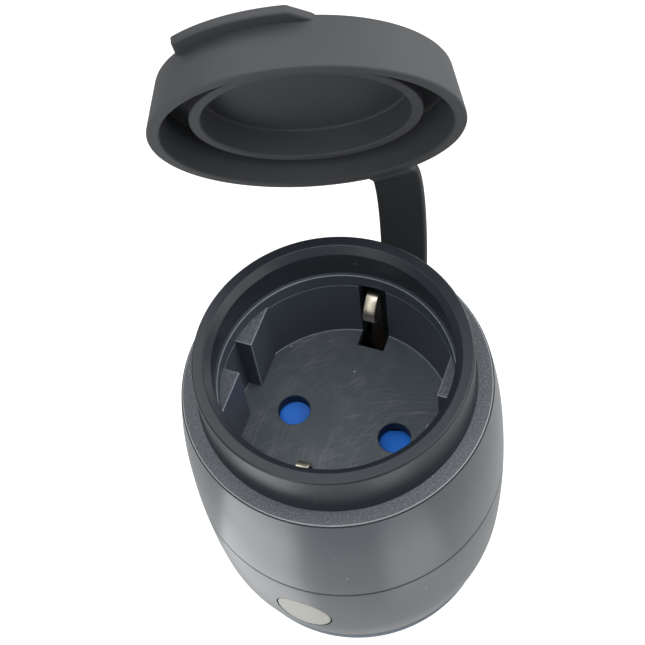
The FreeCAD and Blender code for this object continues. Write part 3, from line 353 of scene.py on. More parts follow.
class Coat:
    """Lays one finish on, layer by layer."""

    DUST = tone(205, 208, 212)
    SCRATCH = tone(168, 170, 170)

    def __init__(self, finish: Finish) -> None:
        """Start with a cloudy colour and roughness.

        Args:
            finish: the finish.
        """
        self.finish = finish
        self.shader = Shader(finish.name)
        cloud = self.shader.noise(scale=60.0, detail=3.0, rough=0.6)
        self.fine = self.shader.noise(scale=2400.0, detail=3.0, rough=0.6)
        self.colour = self.shader.blend(cloud, finish.shaded(1.0 - finish.mottle),
                                        finish.shaded(1.0 + finish.mottle))
        self.rough = cloud * 0.1 + (finish.rough - 0.05)
        self.shader.set(Metallic=finish.metal, Specular_IOR_Level=finish.specular)

    def tint(self, share: Maths, colour: Colour) -> None:
        """Mix a share of another colour in."""
        self.colour = self.shader.blend(share, self.colour, colour)

    def smooth(self) -> None:
        """Plain moulding: pale flecks and a faint bump."""
        self.tint(self.fine.above(level=0.5, soft=0.2) * 0.12, self.finish.shaded(1.5))
        self.shader.bump(self.fine, strength=0.12, depth=0.00003)

    def sparked(self) -> None:
        """A spark eroded mould's dark pits, pale peaks and coarse bump."""
        pits = self.shader.noise(scale=3300.0, detail=2.0, rough=0.7)
        hollows = 1.0 - pits.above(level=0.36, soft=0.14)
        peaks = pits.above(level=0.57, soft=0.1)
        self.tint(hollows * 0.5, self.finish.shaded(0.45))
        self.tint(peaks * 0.6, self.finish.shaded(2.4))
        self.rough = self.rough + pits * 0.12
        self.shader.bump(pits + self.fine * 0.4, strength=0.9, depth=0.00012)

    def scratched(self) -> None:
        """Haze, and the fine curved scratches that plugs leave, thicker in patches."""
        marks = self.plug_marks()
        haze = self.shader.noise(scale=150.0, detail=4.0, rough=0.7, shift=(0.004, 0.009, 0.0))
        self.tint(haze.above(level=0.47, soft=0.2) * 0.08 + marks * 0.26, self.SCRATCH)
        self.rough = self.rough - marks * 0.12
        self.shader.bump(self.fine * 0.5 - marks, strength=0.2, depth=0.00004)

    def plug_marks(self) -> Maths:
        """Scratches about four points on the well's floor.

        Returns:
            One on a scratch, nought elsewhere.
        """
        patches = self.shader.noise(scale=95.0, detail=3.0, rough=0.6, shift=(0.011, 0.004, 0.0))
        upper = self.shader.arcs((0.017, -0.006), across=2600.0, along=2.6, level=0.54)
        lower = self.shader.arcs((0.023, -0.0385), across=2600.0, along=4.6, level=0.54)
        round_hole = self.shader.arcs((-0.0095, 0.0), across=3200.0, along=1.6, level=0.57)
        crossing = self.shader.arcs((-0.060, -0.020), across=2800.0, along=9.0, level=0.6)
        marks = upper + lower + round_hole * 0.5 + crossing * 0.4
        return marks.above(level=0.0, soft=1.4) * patches.above(level=0.4, soft=0.22)

    def rubbed(self) -> None:
        """Rubber with a pale bloom."""
        bloom = self.shader.noise(scale=420.0, detail=4.0, rough=0.65)
        self.tint(bloom.above(level=0.5, soft=0.4) * 0.22, self.finish.shaded(1.5))
        self.rough = self.rough + bloom * 0.08
        self.shader.bump(self.fine + bloom, strength=0.2, depth=0.00004)

    def drawn(self) -> None:
        """Metal with fine lines along it."""
        lines = self.shader.noise(scale=1500.0, detail=2.0, rough=0.5, stretch=(1.0, 1.0, 0.06))
        self.rough = self.rough + lines * 0.14
        self.shader.bump(lines, strength=0.18, depth=0.00004)

    def dusty(self) -> None:
        """Scatter pale dust on it."""
        self.tint(self.shader.specks(scale=620.0, size=0.13, share=self.finish.dust) * 0.8, self.DUST)

    def dried(self) -> bpy.types.Material:
        """Feed what has been laid on to the surface, and give the material."""
        self.shader.set(Base_Color=self.colour, Roughness=self.rough)
        return self.shader.material


@dataclass(frozen=True)
class Palette:
    """Every finish of the socket."""

    shell: Finish = Finish("moulded_grey_shell", tone(75, 83, 90), 0.31, dust=0.01, mottle=0.06)
    shoulder: Finish = Finish("spark_eroded_shoulder", tone(99, 104, 109), 0.5, Grain.SPARKED, dust=0.01)
    # The ledge under the shoulder's edge, painted dark as shade.
    painted_shade_ledge: Finish = Finish("shoulder_ledge_painted_shade", tone(44, 47, 52), 0.6)
    # The shoulder's rounded edge: a lighter tone painted as its highlight, with a real lower roughness.
    painted_edge_highlight: Finish = Finish("shoulder_edge_painted_highlight", tone(156, 160, 165), 0.22)
    collar: Finish = Finish("black_collar_rubber", tone(36, 41, 48), 0.36, Grain.RUBBED, dust=0.02,
                            slot="black_rubber")
    gasket: Finish = Finish("black_seam_rubber", tone(11, 14, 21), 0.6, Grain.RUBBED, slot="black_rubber")
    well: Finish = Finish("blue_grey_well", tone(71, 79, 89), 0.42, dust=0.01, slot="insert_plastic")
    # Rounded edges of the well: a lighter tone painted as their highlight, with some edge wear.
    edge: Finish = Finish("well_edge_wear_and_painted_highlight", tone(146, 154, 162), 0.26, slot="insert_plastic")
    # The pin holes' walls, painted dark as the shade deep in them.
    bore: Finish = Finish("pin_hole_painted_shade", tone(26, 30, 38), 0.6, slot="insert_plastic")
    rib: Finish = Finish("grained_rib_top", tone(96, 102, 109), 0.45, Grain.SPARKED, slot="insert_plastic")
    floor: Finish = Finish("scratched_well_floor", tone(82, 90, 98), 0.42, Grain.SCRATCHED, dust=0.05,
                           slot="insert_plastic")
    shutter: Finish = Finish("blue_shutter_plastic", tone(44, 132, 250), 0.45, mottle=0.16,
                             slot="blue_plastic")
    cap: Finish = Finish("grey_cap_rubber", tone(72, 74, 77), 0.62, Grain.RUBBED, slot="cap_rubber")
    # The strap is the cap's rubber, painted darker as the cap's shadow on it.
    strap: Finish = Finish("strap_rubber_painted_shade", tone(58, 60, 63), 0.72, Grain.RUBBED, slot="cap_rubber",
                           specular=0.3)
    button: Finish = Finish("pale_button_plastic", tone(186, 185, 178), 0.5, mottle=0.1,
                            slot="button_plastic")
    seal: Finish = Finish("grey_seal_rubber", tone(108, 120, 132), 0.6, Grain.RUBBED, slot="grey_rubber")
    plug: Finish = Finish("black_plug_plastic", tone(34, 35, 38), 0.4, slot="black_plastic")
    nickel: Finish = Finish("nickel_plate", tone(226, 218, 200), 0.3, Grain.DRAWN, 1.0, slot="nickel")
    bare: Finish = Finish("bare_clip_back", tone(132, 126, 116), 0.34, Grain.DRAWN, 0.9, slot="nickel")
    brass: Finish = Finish("contact_brass", tone(206, 176, 110), 0.32, Grain.DRAWN, 1.0, slot="brass")
    steel: Finish = Finish("screw_steel", tone(176, 178, 182), 0.34, Grain.DRAWN, 1.0, slot="steel")
    tin: Finish = Finish("capacitor_can", tone(196, 198, 202), 0.3, Grain.DRAWN, 1.0, slot="aluminium")
    board: Finish = Finish("green_board_lacquer", tone(22, 92, 52), 0.3, slot="board_laminate")
    amber: Finish = Finish("amber_capacitor_case", tone(205, 160, 52), 0.5, slot="yellow_plastic")
    brown: Finish = Finish("brown_fuse_case", tone(92, 58, 38), 0.35, slot="brown_plastic")


def placed(name: str, data: bpy.types.ID) -> bpy.types.Object:
    """Stand a new object in the scene.

    Args:
        name: its name.
        data: its mesh, lamp or camera.

    Returns:
        The object.
    """
    thing = bpy.data.objects.new(name, data)
    bpy.context.scene.collection.objects.link(thing)
    return thing


def meshed(name: str, form: Form) -> bpy.types.Object:
    """Stand a form in the scene as an object.

    Args:
        name: the object's name.
        form: its mesh, freed here.

    Returns:
        The object.
    """
    mesh = bpy.data.meshes.new(name)
    form.to_mesh(mesh)
    form.free()
    return placed(name, mesh)


class Workshop:
    """Turns bmesh forms into finished pieces."""

    def __init__(self, palette: Palette) -> None:
        """Keep the palette and an empty shelf of made materials."""
        self.palette = palette
        self.made: dict[str, bpy.types.Material] = {}

    def paint(self, finish: Finish) -> bpy.types.Material:
        """The material of a finish, made once.

        Args:
            finish: the finish.

        Returns:
            Its material.
        """
        if finish.name not in self.made:
            self.made[finish.name] = finish.build()
        return self.made[finish.name]

    def piece(self, name: str, form: Form, finishes: Sequence[Finish], body: str | None,
              replaces: Sequence[str], smooth: float = 35.0) -> bpy.types.Object:
        """Make an object of a form in millimetres, dress it and tie it to its body.

        Args:
            name: the piece's name.
            form: its mesh, in millimetres, freed here.
            finishes: one finish to each material index.
            body: the CAD body it rides on, or none for a piece that spans two, which is tied to neither.
            replaces: CAD nodes that it stands for.
            smooth: sharpest angle, in degrees, that is shaded smooth.

        Returns:
            The object.
        """
        bmesh.ops.remove_doubles(form, verts=form.verts, dist=MERGED)
        bmesh.ops.scale(form, vec=(MM, MM, MM), verts=form.verts)
        for face in form.faces:
            face.smooth = True
        for edge in form.edges:
            if len(edge.link_faces) == 2 and edge.calc_face_angle(0.0) > math.radians(smooth):
                edge.smooth = False
        thing = meshed(name, form)
        for finish in finishes:
            thing.data.materials.append(self.paint(finish))
        even = thing.modifiers.new("even", "WEIGHTED_NORMAL")
        even.keep_sharp = True
        if body:
            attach(thing, body)
        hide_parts(*replaces)
        LOG.info("%s: %d faces, rides on %s", name, len(thing.data.polygons), body or "two bodies")
        return thing

    def dress(self, nodes: dict[str, bpy.types.Object], name: str, finish: Finish) -> None:
        """Give a CAD node that keeps its shape a finish.

        Args:
            nodes: the frame's nodes.
            name: the node.
            finish: its finish.
        """
        mesh = nodes[name].data
        material = self.paint(finish)
        if not mesh.materials:
            mesh.materials.append(material)
        for index in range(len(mesh.materials)):
            mesh.materials[index] = material
        LOG.info("%s: CAD shape kept, finished in %s", name, finish.name)


def polar(radius: float, degrees: float) -> Point:
    """The x and y of a point about the axis."""
    return radius * math.cos(math.radians(degrees)), radius * math.sin(math.radians(degrees))


def arc(centre: Point, radius: float, start: float, end: float, steps: int) -> list[Point]:
    """Points along an arc of an outline, by angle in degrees."""
    turns = [polar(radius, start + (end - start) * step / steps) for step in range(steps + 1)]
    return [(centre[0] + x, centre[1] + y) for x, y in turns]


def spun(outline: Sequence[Point], steps: int = ROUND, closed: bool = True,
         sweep: float = 360.0) -> Form:
    """Turn an outline of radius and height about the axis.

    Args:
        outline: its corners.
        steps: divisions of the turn.
        closed: whether the last corner joins the first.
        sweep: the turn in degrees.

    Returns:
        The form.
    """
    form = bmesh.new()
    verts = [form.verts.new((radius, 0.0, height)) for radius, height in outline]
    edges = [form.edges.new(pair) for pair in zip(verts, verts[1:])]
    if closed:
        edges.append(form.edges.new((verts[-1], verts[0])))
    bmesh.ops.spin(form, geom=verts + edges, axis=(0, 0, 1), cent=(0, 0, 0), angle=math.radians(sweep),
                   steps=steps, use_merge=sweep == 360.0, use_duplicate=False)
    bmesh.ops.remove_doubles(form, verts=form.verts, dist=MERGED)
    bmesh.ops.dissolve_degenerate(form, dist=0.0003, edges=form.edges)
    outwards(form)
    return form


def rounded(form: Form, edges: Sequence[bmesh.types.BMEdge], radius: float, segments: int,
            finish: int = 0) -> None:
    """Round edges of a form.

    Args:
        form: the form.
        edges: the edges.
        radius: how much to round.
        segments: steps of the rounding.
        finish: material index of the rounding, or nought to leave it.
    """
    rounding = bmesh.ops.bevel(form, geom=edges, offset=radius, offset_type="OFFSET", segments=segments,
                               profile=0.5, affect="EDGES", material=-1)
    for face in rounding["faces"] if finish else ():
        face.material_index = finish


def soften(form: Form, corners: Iterable[Point], radius: float, segments: int,
           finish: int = 0) -> None:
    """Round ring edges of a turned form.

    Args:
        form: the form.
        corners: radius and height of each ring.
        radius: how much to round.
        segments: steps of the rounding.
        finish: material index of the rounding, or nought to leave it.
    """
    def on_ring(vert: bmesh.types.BMVert, ring: Point) -> bool:
        """Whether a vertex lies on a ring."""
        return abs(math.hypot(vert.co.x, vert.co.y) - ring[0]) < NEAR and abs(vert.co.z - ring[1]) < NEAR
    edges = [edge for edge in form.edges
             if any(all(on_ring(vert, ring) for vert in edge.verts) for ring in corners)]
    rounded(form, edges, radius, segments, finish)


def moved(form: Form, x: float, y: float, z: float) -> None:
    """Shift a whole form."""
    bmesh.ops.translate(form, vec=(x, y, z), verts=form.verts)


def turned(form: Form, degrees: float, axis: str = "Z") -> None:
    """Turn a whole form about an axis through the origin."""
    matrix = Matrix.Rotation(math.radians(degrees), 3, axis)
    bmesh.ops.rotate(form, cent=(0, 0, 0), matrix=matrix, verts=form.verts)


def outwards(form: Form) -> None:
    """Turn every face of a form outwards."""
    bmesh.ops.recalc_face_normals(form, faces=form.faces)


def grown_verts(grown: dict[str, list]) -> list[bmesh.types.BMVert]:
    """The vertices that an extrusion made."""
    return [item for item in grown["geom"] if isinstance(item, bmesh.types.BMVert)]


def prism(outline: Sequence[Vector], reach: Vector) -> Form:
    """A closed prism of a flat outline.

    Args:
        outline: its corners.
        reach: how far and which way it goes.

    Returns:
        The form.
    """
    form = bmesh.new()
    face = form.faces.new([form.verts.new(point) for point in outline])
    grown = bmesh.ops.extrude_face_region(form, geom=[face])
    bmesh.ops.translate(form, vec=reach, verts=grown_verts(grown))
    outwards(form)
    return form


def block(low: Sequence[float], high: Sequence[float]) -> Form:
    """A box between two corners.

    Args:
        low: its lowest corner.
        high: its highest corner.

    Returns:
        The form.
    """
    form = bmesh.new()
    bmesh.ops.create_cube(form, size=1.0)
    span = [high[axis] - low[axis] for axis in range(3)]
    bmesh.ops.scale(form, vec=span, verts=form.verts)
    moved(form, *((high[axis] + low[axis]) / 2 for axis in range(3)))
    return form


def cone(low: float, high: float, low_radius: float, high_radius: float, steps: int) -> Form:
    """A closed cone or cylinder on the axis.

    Args:
        low: its lowest height.
        high: its highest height.
        low_radius: its radius below.
        high_radius: its radius above.
        steps: sides of the turn.

    Returns:
        The form.
    """
    form = bmesh.new()
    bmesh.ops.create_cone(form, cap_ends=True, segments=steps, radius1=low_radius, radius2=high_radius,
                          depth=high - low)
    moved(form, 0, 0, (low + high) / 2)
    return form


def rod(x: float, y: float, low: float, high: float, radius: float, steps: int = 48) -> Form:
    """An upright cylinder.

    Args:
        x: its place across.
        y: its place along.
        low: its lowest height.
        high: its highest height.
        radius: its radius.
        steps: sides of the turn.

    Returns:
        The form.
    """
    form = cone(low, high, radius, radius, steps)
    moved(form, x, y, 0)
    return form


def oval_prism(width: float, height: float, centre: float, front: float, back: float) -> Form:
    """An oval prism that runs along Y.

    Args:
        width: the oval's width.
        height: its height.
        centre: the height of its middle.
        front: where the prism starts along Y.
        back: where it ends.

    Returns:
        The form.
    """
    half = (back - front) / 2
    form = cone(-half, half, 1.0, 1.0, 72)
    turned(form, 90, "X")
    bmesh.ops.scale(form, vec=(width / 2, 1.0, height / 2), verts=form.verts)
    moved(form, 0, (front + back) / 2, centre)
    return form


def carved(form: Form, tools: Sequence[Form],
           work: Carving = Carving.CUT) -> Form:
    """Cut tools out of a form, or add them to it.

    Args:
        form: the form, freed here.
        tools: closed forms, freed here.
        work: what the tools do.

    Returns:
        The new form.
    """
    def shelve(shape: Form, label: str) -> bpy.types.Object:
        """Put a form in an object of its own, with an empty slot for each material index.

        Args:
            shape: the form, freed here.
            label: the object's name.

        Returns:
            The object.
        """
        thing = meshed(label, shape)
        for _ in Well.FINISHES:
            thing.data.materials.append(None)
        return thing
    base = shelve(form, "carving")
    held = []
    for index, tool in enumerate(tools):
        cutter = shelve(tool, f"tool{index}")
        held.append(cutter)
        step = base.modifiers.new(f"step{index}", "BOOLEAN")
        step.operation = work.value
        step.solver = "EXACT"
        step.object = cutter
    graph = bpy.context.evaluated_depsgraph_get()
    graph.update()
    result = bmesh.new()
    result.from_mesh(base.evaluated_get(graph).to_mesh())
    for thing in [base] + held:
        mesh = thing.data
        bpy.data.objects.remove(thing)
        bpy.data.meshes.remove(mesh)
    return result


def joined(forms: Sequence[Form]) -> Form:
    """Several forms kept as islands of one.

    Args:
        forms: the forms, of which the later ones are freed.

    Returns:
        The first form, with the others in it.
    """
    whole = forms[0]
    for other in forms[1:]:
        mesh = bpy.data.meshes.new("joining")
        other.to_mesh(mesh)
        other.free()
        whole.from_mesh(mesh)
        bpy.data.meshes.remove(mesh)
    return whole


@dataclass
class Housing:
    """The barrel: two shells, the dark gasket between them, the button and its opening."""

    shop: Workshop
    belly: float = 28.5
    belly_height: float = 45.0
    belly_arc: float = 240.0
    belly_reach: float = 16.0
    shoulder: Point = (26.5, 73.0)
    border: float = 0.14
    border_drop: float = 0.36
    border_edge: float = 0.17
    foot: Point = (25.8, 18.2)
    foot_edge: float = 1.2
    wall: float = 2.4
    seam: Point = (46.7, 47.3)
    seam_edge: float = 0.12
    gasket_width: float = 2.0
    gasket_inset: float = 0.03
    gasket_edge: float = 0.06
    neck: float = 21.88
    floor: Point = (17.0, 20.0)
    plug_hole: float = 18.6
    screws: Point = (21.3, 45.0)
    boss_radius: float = 2.8
    boss_top: float = 53.9
    tube_radius: float = 2.6
    tube_bore: float = 1.35
    tube_foot: float = 19.5
    tube_drill: Point = (10.0, 60.0)
    strap_notch: tuple[Place, Place] = ((-4.0, 22.9, 44.5), (5.0, 29.5, 47.5))
    button: Place = (10.3, 12.7, 33.35)
    button_gap: float = 0.25
    button_proud: float = 0.06
    button_back: float = -23.1
    button_edge: float = 0.3
    button_rings: int = 7
    lip: Place = (0.8, -23.05, -22.25)
    opening: Point = (-30.0, -22.0)
    guide: Place = (1.2, -27.2, -23.6)

    def radius_at(self, height: float) -> float:
        """Outer radius of the barrel: a flat arc at the belly, and a smaller one past its reach.

        Args:
            height: where to measure.

        Returns:
            The radius.
        """
        centre = self.belly - self.belly_arc
        offset = height - self.belly_height
        if abs(offset) <= self.belly_reach:
            return centre + math.sqrt(self.belly_arc ** 2 - offset ** 2)
        edge = self.shoulder if offset > 0 else self.foot
        joint = (centre + math.sqrt(self.belly_arc ** 2 - self.belly_reach ** 2),
                 self.belly_height + math.copysign(self.belly_reach, offset))
        normal = ((joint[0] - centre) / self.belly_arc, (joint[1] - self.belly_height) / self.belly_arc)
        out = (joint[0] - edge[0], joint[1] - edge[1])
        small = (out[0] ** 2 + out[1] ** 2) / (2 * (out[0] * normal[0] + out[1] * normal[1]))
        middle = (joint[0] - normal[0] * small, joint[1] - normal[1] * small)
        return middle[0] + math.sqrt(max(small ** 2 - (height - middle[1]) ** 2, 0.0))

    def side(self, low: float, high: float, steps: int, inset: float = 0.0) -> list[Point]:
        """Points up the barrel's side between two heights."""
        heights = [low + (high - low) * step / steps for step in range(steps + 1)]
        return [(self.radius_at(height) - inset, height) for height in heights]

    def screw_places(self) -> list[Point]:
        """Where the four housing screws stand."""
        return [polar(self.screws[0], self.screws[1] + 90 * turn) for turn in range(4)]

    def oval(self, grown: float, front: float, back: float) -> Form:
        """An oval prism as large as the button, grown all round."""
        width, height, centre = self.button
        return oval_prism(width + 2 * grown, height + 2 * grown, centre, front, back)

    def build(self) -> None:
        """Make both shells, the gasket and the button."""
        self.upper()
        self.lower()
        self.seam_ring()
        self.push_button()

    def upper(self) -> None:
        """The upper shell with its grained shoulder, the ledge round it painted dark as shade, its outer
        edge painted light as a highlight, and the screw bosses.
        """
        inner, top = self.shoulder[0] - self.border, self.shoulder[1]
        ledge = top - self.border_drop
        outline = self.side(self.seam[1], ledge, 27)
        outline += [(inner, ledge), (inner, top), (self.neck, top), (self.neck, top - self.wall)]
        outline += self.side(self.seam[1], top - self.wall, 18, self.wall)[::-1]
        form = spun(outline)
        # Shoulder tops take the grained finish; the ledge's faces take the finish painted dark as shade.
        for face in form.faces:
            middle = face.calc_center_median()
            reach = math.hypot(middle.x, middle.y)
            if face.normal.z > 0.9 and middle.z > top - 0.1:
                face.material_index = 1
            elif middle.z > ledge - 0.02 and reach > inner - 0.1:
                face.material_index = 2
        # The shoulder's outer rounded edge takes the lighter tone painted as a highlight.
        soften(form, [(inner, top)], self.border_edge, 3, 3)
        soften(form, [(self.radius_at(self.seam[1]), self.seam[1])], self.seam_edge, 2)
        bosses = [rod(x, y, self.seam[1], self.boss_top, self.boss_radius) for x, y in self.screw_places()]
        palette = self.shop.palette
        self.shop.piece("housing_upper_shell", joined([form] + bosses),
                        [palette.shell, palette.shoulder, palette.painted_shade_ledge, palette.painted_edge_highlight],
                        "housing", ["upper_housing"])

    def lower(self) -> None:
        """The lower shell with the opening for the button and the notch for the strap."""
        outline = arc((self.foot[0] - self.foot_edge, self.foot[1]), self.foot_edge, -90, 0, 5)
        outline += self.side(self.foot[1], self.seam[0], 26)[1:]
        outline += self.side(self.floor[1], self.seam[0], 18, self.wall)[::-1]
        outline += [(self.plug_hole, self.floor[1]), (self.plug_hole, self.floor[0])]
        form = spun(outline)
        soften(form, [(self.radius_at(self.seam[0]), self.seam[0])], self.seam_edge, 2)
        form = carved(form, [self.oval(self.button_gap, *self.opening), block(*self.strap_notch)])
        guide_wall, front, back = self.guide
        guide = carved(self.oval(self.button_gap + guide_wall, front, back),
                       [self.oval(self.button_gap, *self.opening)])
        tubes = [carved(rod(x, y, self.tube_foot, self.seam[0], self.tube_radius),
                        [rod(x, y, *self.tube_drill, self.tube_bore)])
                 for x, y in self.screw_places()]
        self.shop.piece("housing_lower_shell", joined([form, guide] + tubes), [self.shop.palette.shell],
                        "housing", ["lower_housing"])

    def seam_ring(self) -> None:
        """The gasket, a dark line between the shells."""
        outer = self.radius_at(sum(self.seam) / 2) - self.gasket_inset
        inner = outer - self.gasket_width
        form = spun([(inner, self.seam[0]), (outer, self.seam[0]), (outer, self.seam[1]),
                     (inner, self.seam[1])])
        soften(form, [(outer, self.seam[0]), (outer, self.seam[1])], self.gasket_edge, 2)
        self.shop.piece("seam_gasket_ring", form, [self.shop.palette.gasket], "housing", ["seam_gasket"])

    def push_button(self) -> None:
        """The oval button, whose face follows the barrel's curve."""
        width, height, centre = self.button
        form = bmesh.new()
        bmesh.ops.create_circle(form, cap_ends=True, segments=80, radius=1.0)
        face = form.faces[:]
        for _ in range(self.button_rings):
            bmesh.ops.inset_region(form, faces=face, thickness=0.13, use_even_offset=False)
        turned(form, 90, "X")
        bmesh.ops.scale(form, vec=(width / 2, 1.0, height / 2), verts=form.verts)
        moved(form, 0, 0, centre)
        for vert in form.verts:
            radius = self.radius_at(vert.co.z) + self.button_proud
            vert.co.y = -math.sqrt(radius ** 2 - vert.co.x ** 2)
        rim = [edge for edge in form.edges if edge.is_boundary]
        for vert in grown_verts(bmesh.ops.extrude_edge_only(form, edges=rim)):
            vert.co.y = self.button_back
        bmesh.ops.contextual_create(form, geom=[edge for edge in form.edges if edge.is_boundary])
        outwards(form)
        rounded(form, rim, self.button_edge, 4)
        self.shop.piece("learn_button_cap", joined([form, self.oval(*self.lip)]),
                        [self.shop.palette.button], "button", ["learn_button"])


@dataclass
class Collar:
    """The rubber collar round the socket's mouth."""

    shop: Workshop
    bore: float = 20.75
    mouth: float = 20.1
    top: float = 82.35
    top_radius: float = 23.3
    top_edge: float = 0.45
    waist: Point = (23.45, 74.6)
    base_radius: float = 23.85
    base: float = 73.0
    chamfer: float = 1.25
    small_edge: float = 0.15
    rim: float = 74.6
    fit: float = 21.88

    def build(self) -> None:
        """Make the collar with its rounded top and chamfered mouth."""
        chamfer = [(self.mouth + self.chamfer, self.top), (self.mouth, self.top - self.chamfer)]
        outline = [(self.fit, self.base), (self.base_radius, self.base), self.waist,
                   (self.top_radius, self.top)]
        outline += chamfer + [(self.bore, self.rim), (self.fit, self.rim)]
        form = spun(outline)
        soften(form, [(self.top_radius, self.top)], self.top_edge, 4)
        soften(form, chamfer, self.small_edge, 3)
        soften(form, [(self.base_radius, self.base)], self.small_edge, 2)
        self.shop.piece("mouth_collar", form, [self.shop.palette.collar], "housing", ["collar_ring"])


@dataclass
class Well:
    """The socket well with its ribs, holes and slots, and the earth clips in it."""

    # edge is a lighter tone painted as a highlight on rounded edges, with some wear; bore paints the pin
    # holes' walls dark as shade.
    FINISHES = ("well", "floor", "edge", "rib", "bore")

    shop: Workshop
    floor: float = 57.0
    floor_edge: float = 0.25
    rim: float = 74.6
    rim_edge: float = 0.16
    radius: float = 19.5
    ledge: tuple[Point, Point] = ((20.04, 71.55), (19.92, 71.45))
    mouth: float = 20.1
    outside: float = 21.8
    bead: Place = (22.15, 73.8, 0.35)
    under: float = 54.6
    pins: float = 9.5
    hole: float = 2.9
    broken_edge: Point = (-0.05, 0.35)
    rib_face: float = 16.8
    rib_root: float = 20.8
    rib_span: Point = (2.8, 11.2)
    rib_top: float = 72.0
    rib_edge: float = 0.16
    slot: Place = (2.5, 16.1, 71.8)
    ears: Point = (24.1, 1.4)
    pivot: Point = (49.0, 1.5)
    clip: float = 2.2
    clip_thick: float = 0.6
    clip_edge: float = 0.12
    clip_shift: float = -0.45
    clip_bridge: tuple[Point, ...] = ((0.0, 45.6), (19.6, 45.6), (20.3, 45.8), (20.6, 46.5), (20.6, 52.0),
                                      (20.6, 60.0))
    back_loop: tuple[Point, ...] = ((20.6, 68.4), (20.5, 69.0), (20.2, 69.4), (19.75, 69.5), (19.3, 69.3),
                                    (18.8, 68.9), (18.3, 68.42), (17.8, 67.92), (17.35, 67.4),
                                    (17.1, 66.85), (17.0, 66.2), (17.05, 65.5), (17.35, 64.9),
                                    (17.9, 64.5), (18.7, 64.3))
    front_loop: tuple[Point, ...] = ((19.4, 66.5), (18.2, 70.2), (17.7, 71.2), (17.0, 71.8), (16.2, 71.9),
                                     (15.5, 71.5), (15.0, 70.8), (14.75, 69.9), (14.8, 68.9),
                                     (15.1, 67.8), (15.8, 66.4), (17.0, 64.6))

    def build(self) -> None:
        """Make the insert and the clips."""
        self.insert()
        self.clips()

    def insert(self) -> None:
        """The cup with ribs, bevelled pin holes and earth slots."""
        bead, bead_height, bead_half = self.bead
        outline = [(0.0, self.under), (self.outside, self.under), (self.outside, bead_height - bead_half),
                   (bead, bead_height), (self.outside, bead_height + bead_half), (self.outside, self.rim),
                   (self.mouth, self.rim), *self.ledge, (self.radius, self.floor), (0.0, self.floor)]
        form = spun(outline, closed=False)
        # The rounded rim and floor edges take the lighter tone painted as a highlight, with some wear.
        wear_and_highlight = self.FINISHES.index("edge")
        soften(form, [(self.mouth, self.rim)], self.rim_edge, 2, wear_and_highlight)
        soften(form, [(self.radius, self.floor)], self.floor_edge, 3, wear_and_highlight)
        form = carved(form, [self.rib(across, along) for across in (1, -1) for along in (1, -1)],
                      Carving.ADD)
        low, high = self.under - SPARE, self.floor + SPARE
        half, inner, top = self.slot
        tools = []
        for side in (1, -1):
            tools.append(rod(side * self.pins, 0, low, high, self.hole, 56))
            tools.append(self.countersink(side * self.pins))
            near, far = (inner, self.outside + SPARE) if side > 0 else (-self.outside - SPARE, -inner)
            tools.append(block((self.clip_shift - half, near, low), (self.clip_shift + half, far, top)))
        form = carved(form, tools)
        for face in form.faces:
            middle = face.calc_center_median()
            level = face.normal.z > 0.9
            if abs(middle.z - self.floor) < 0.02 and level:
                face.material_index = self.FINISHES.index("floor")
            if abs(middle.z - self.rib_top) < 0.02 and level:
                face.material_index = self.FINISHES.index("rib")
            # Walls of the pin holes take the finish painted dark as shade.
            if math.hypot(abs(middle.x) - self.pins, middle.y) < self.hole and abs(face.normal.z) < 0.3:
                face.material_index = self.FINISHES.index("bore")
        ear_place, ear_radius = self.ears
        ears = [rod(*polar(ear_place, turn), self.under, self.floor, ear_radius, 24)
                for turn in (60, 180, 300)]
        pivot_foot, pivot_radius = self.pivot
        pivot = rod(0, 0, pivot_foot, self.under + 0.5, pivot_radius, 32)
        self.shop.piece("socket_well", joined([form, pivot] + ears),
                        [getattr(self.shop.palette, name) for name in self.FINISHES],
                        "housing", ["socket_insert"], smooth=28.0)

    def rib(self, across: int, along: int) -> Form:
        """One guide rib, with its free edges a little rounded.

        Args:
            across: its side of the well, 1 or -1.
            along: its end of that side, 1 or -1.

        Returns:
            The form.
        """
        low, high = self.rib_span
        inner, outer = self.rib_face, self.rib_root
        reach = min(high, math.sqrt(outer ** 2 - inner ** 2))
        start = math.atan2(low, math.sqrt(outer ** 2 - low ** 2))
        end = math.atan2(reach, math.sqrt(outer ** 2 - reach ** 2))
        turns = [start + (end - start) * step / 6 for step in range(7)]
        flat = [(inner, reach), (inner, low)]
        flat += [(outer * math.cos(turn), outer * math.sin(turn)) for turn in turns]
        foot = self.floor - SPARE
        form = prism([Vector((across * x, along * y, foot)) for x, y in flat],
                     Vector((0, 0, self.rib_top - foot)))
        free = inner + 0.05
        top = [edge for edge in form.edges if all(vert.co.z > self.rib_top - 0.01 for vert in edge.verts)
               and all(abs(vert.co.x) < free or abs(abs(vert.co.y) - low) < 0.05 for vert in edge.verts)]
        upright = [edge for edge in form.edges if abs(edge.verts[0].co.z - edge.verts[1].co.z) > 1
                   and abs(edge.verts[0].co.x) < free]
        # The rib's rounded edges take the lighter tone painted as a highlight, with some wear.
        rounded(form, top + upright, self.rib_edge, 2, self.FINISHES.index("edge"))
        return form

    def countersink(self, x: float) -> Form:
        """A shallow cone that breaks the edge of a pin hole.

        Args:
            x: the hole's place.

        Returns:
            The form.
        """
        below, above = self.broken_edge
        form = cone(-0.2, 0.2, self.hole + below, self.hole + above, 56)
        moved(form, x, 0, self.floor + 0.02)
        return form

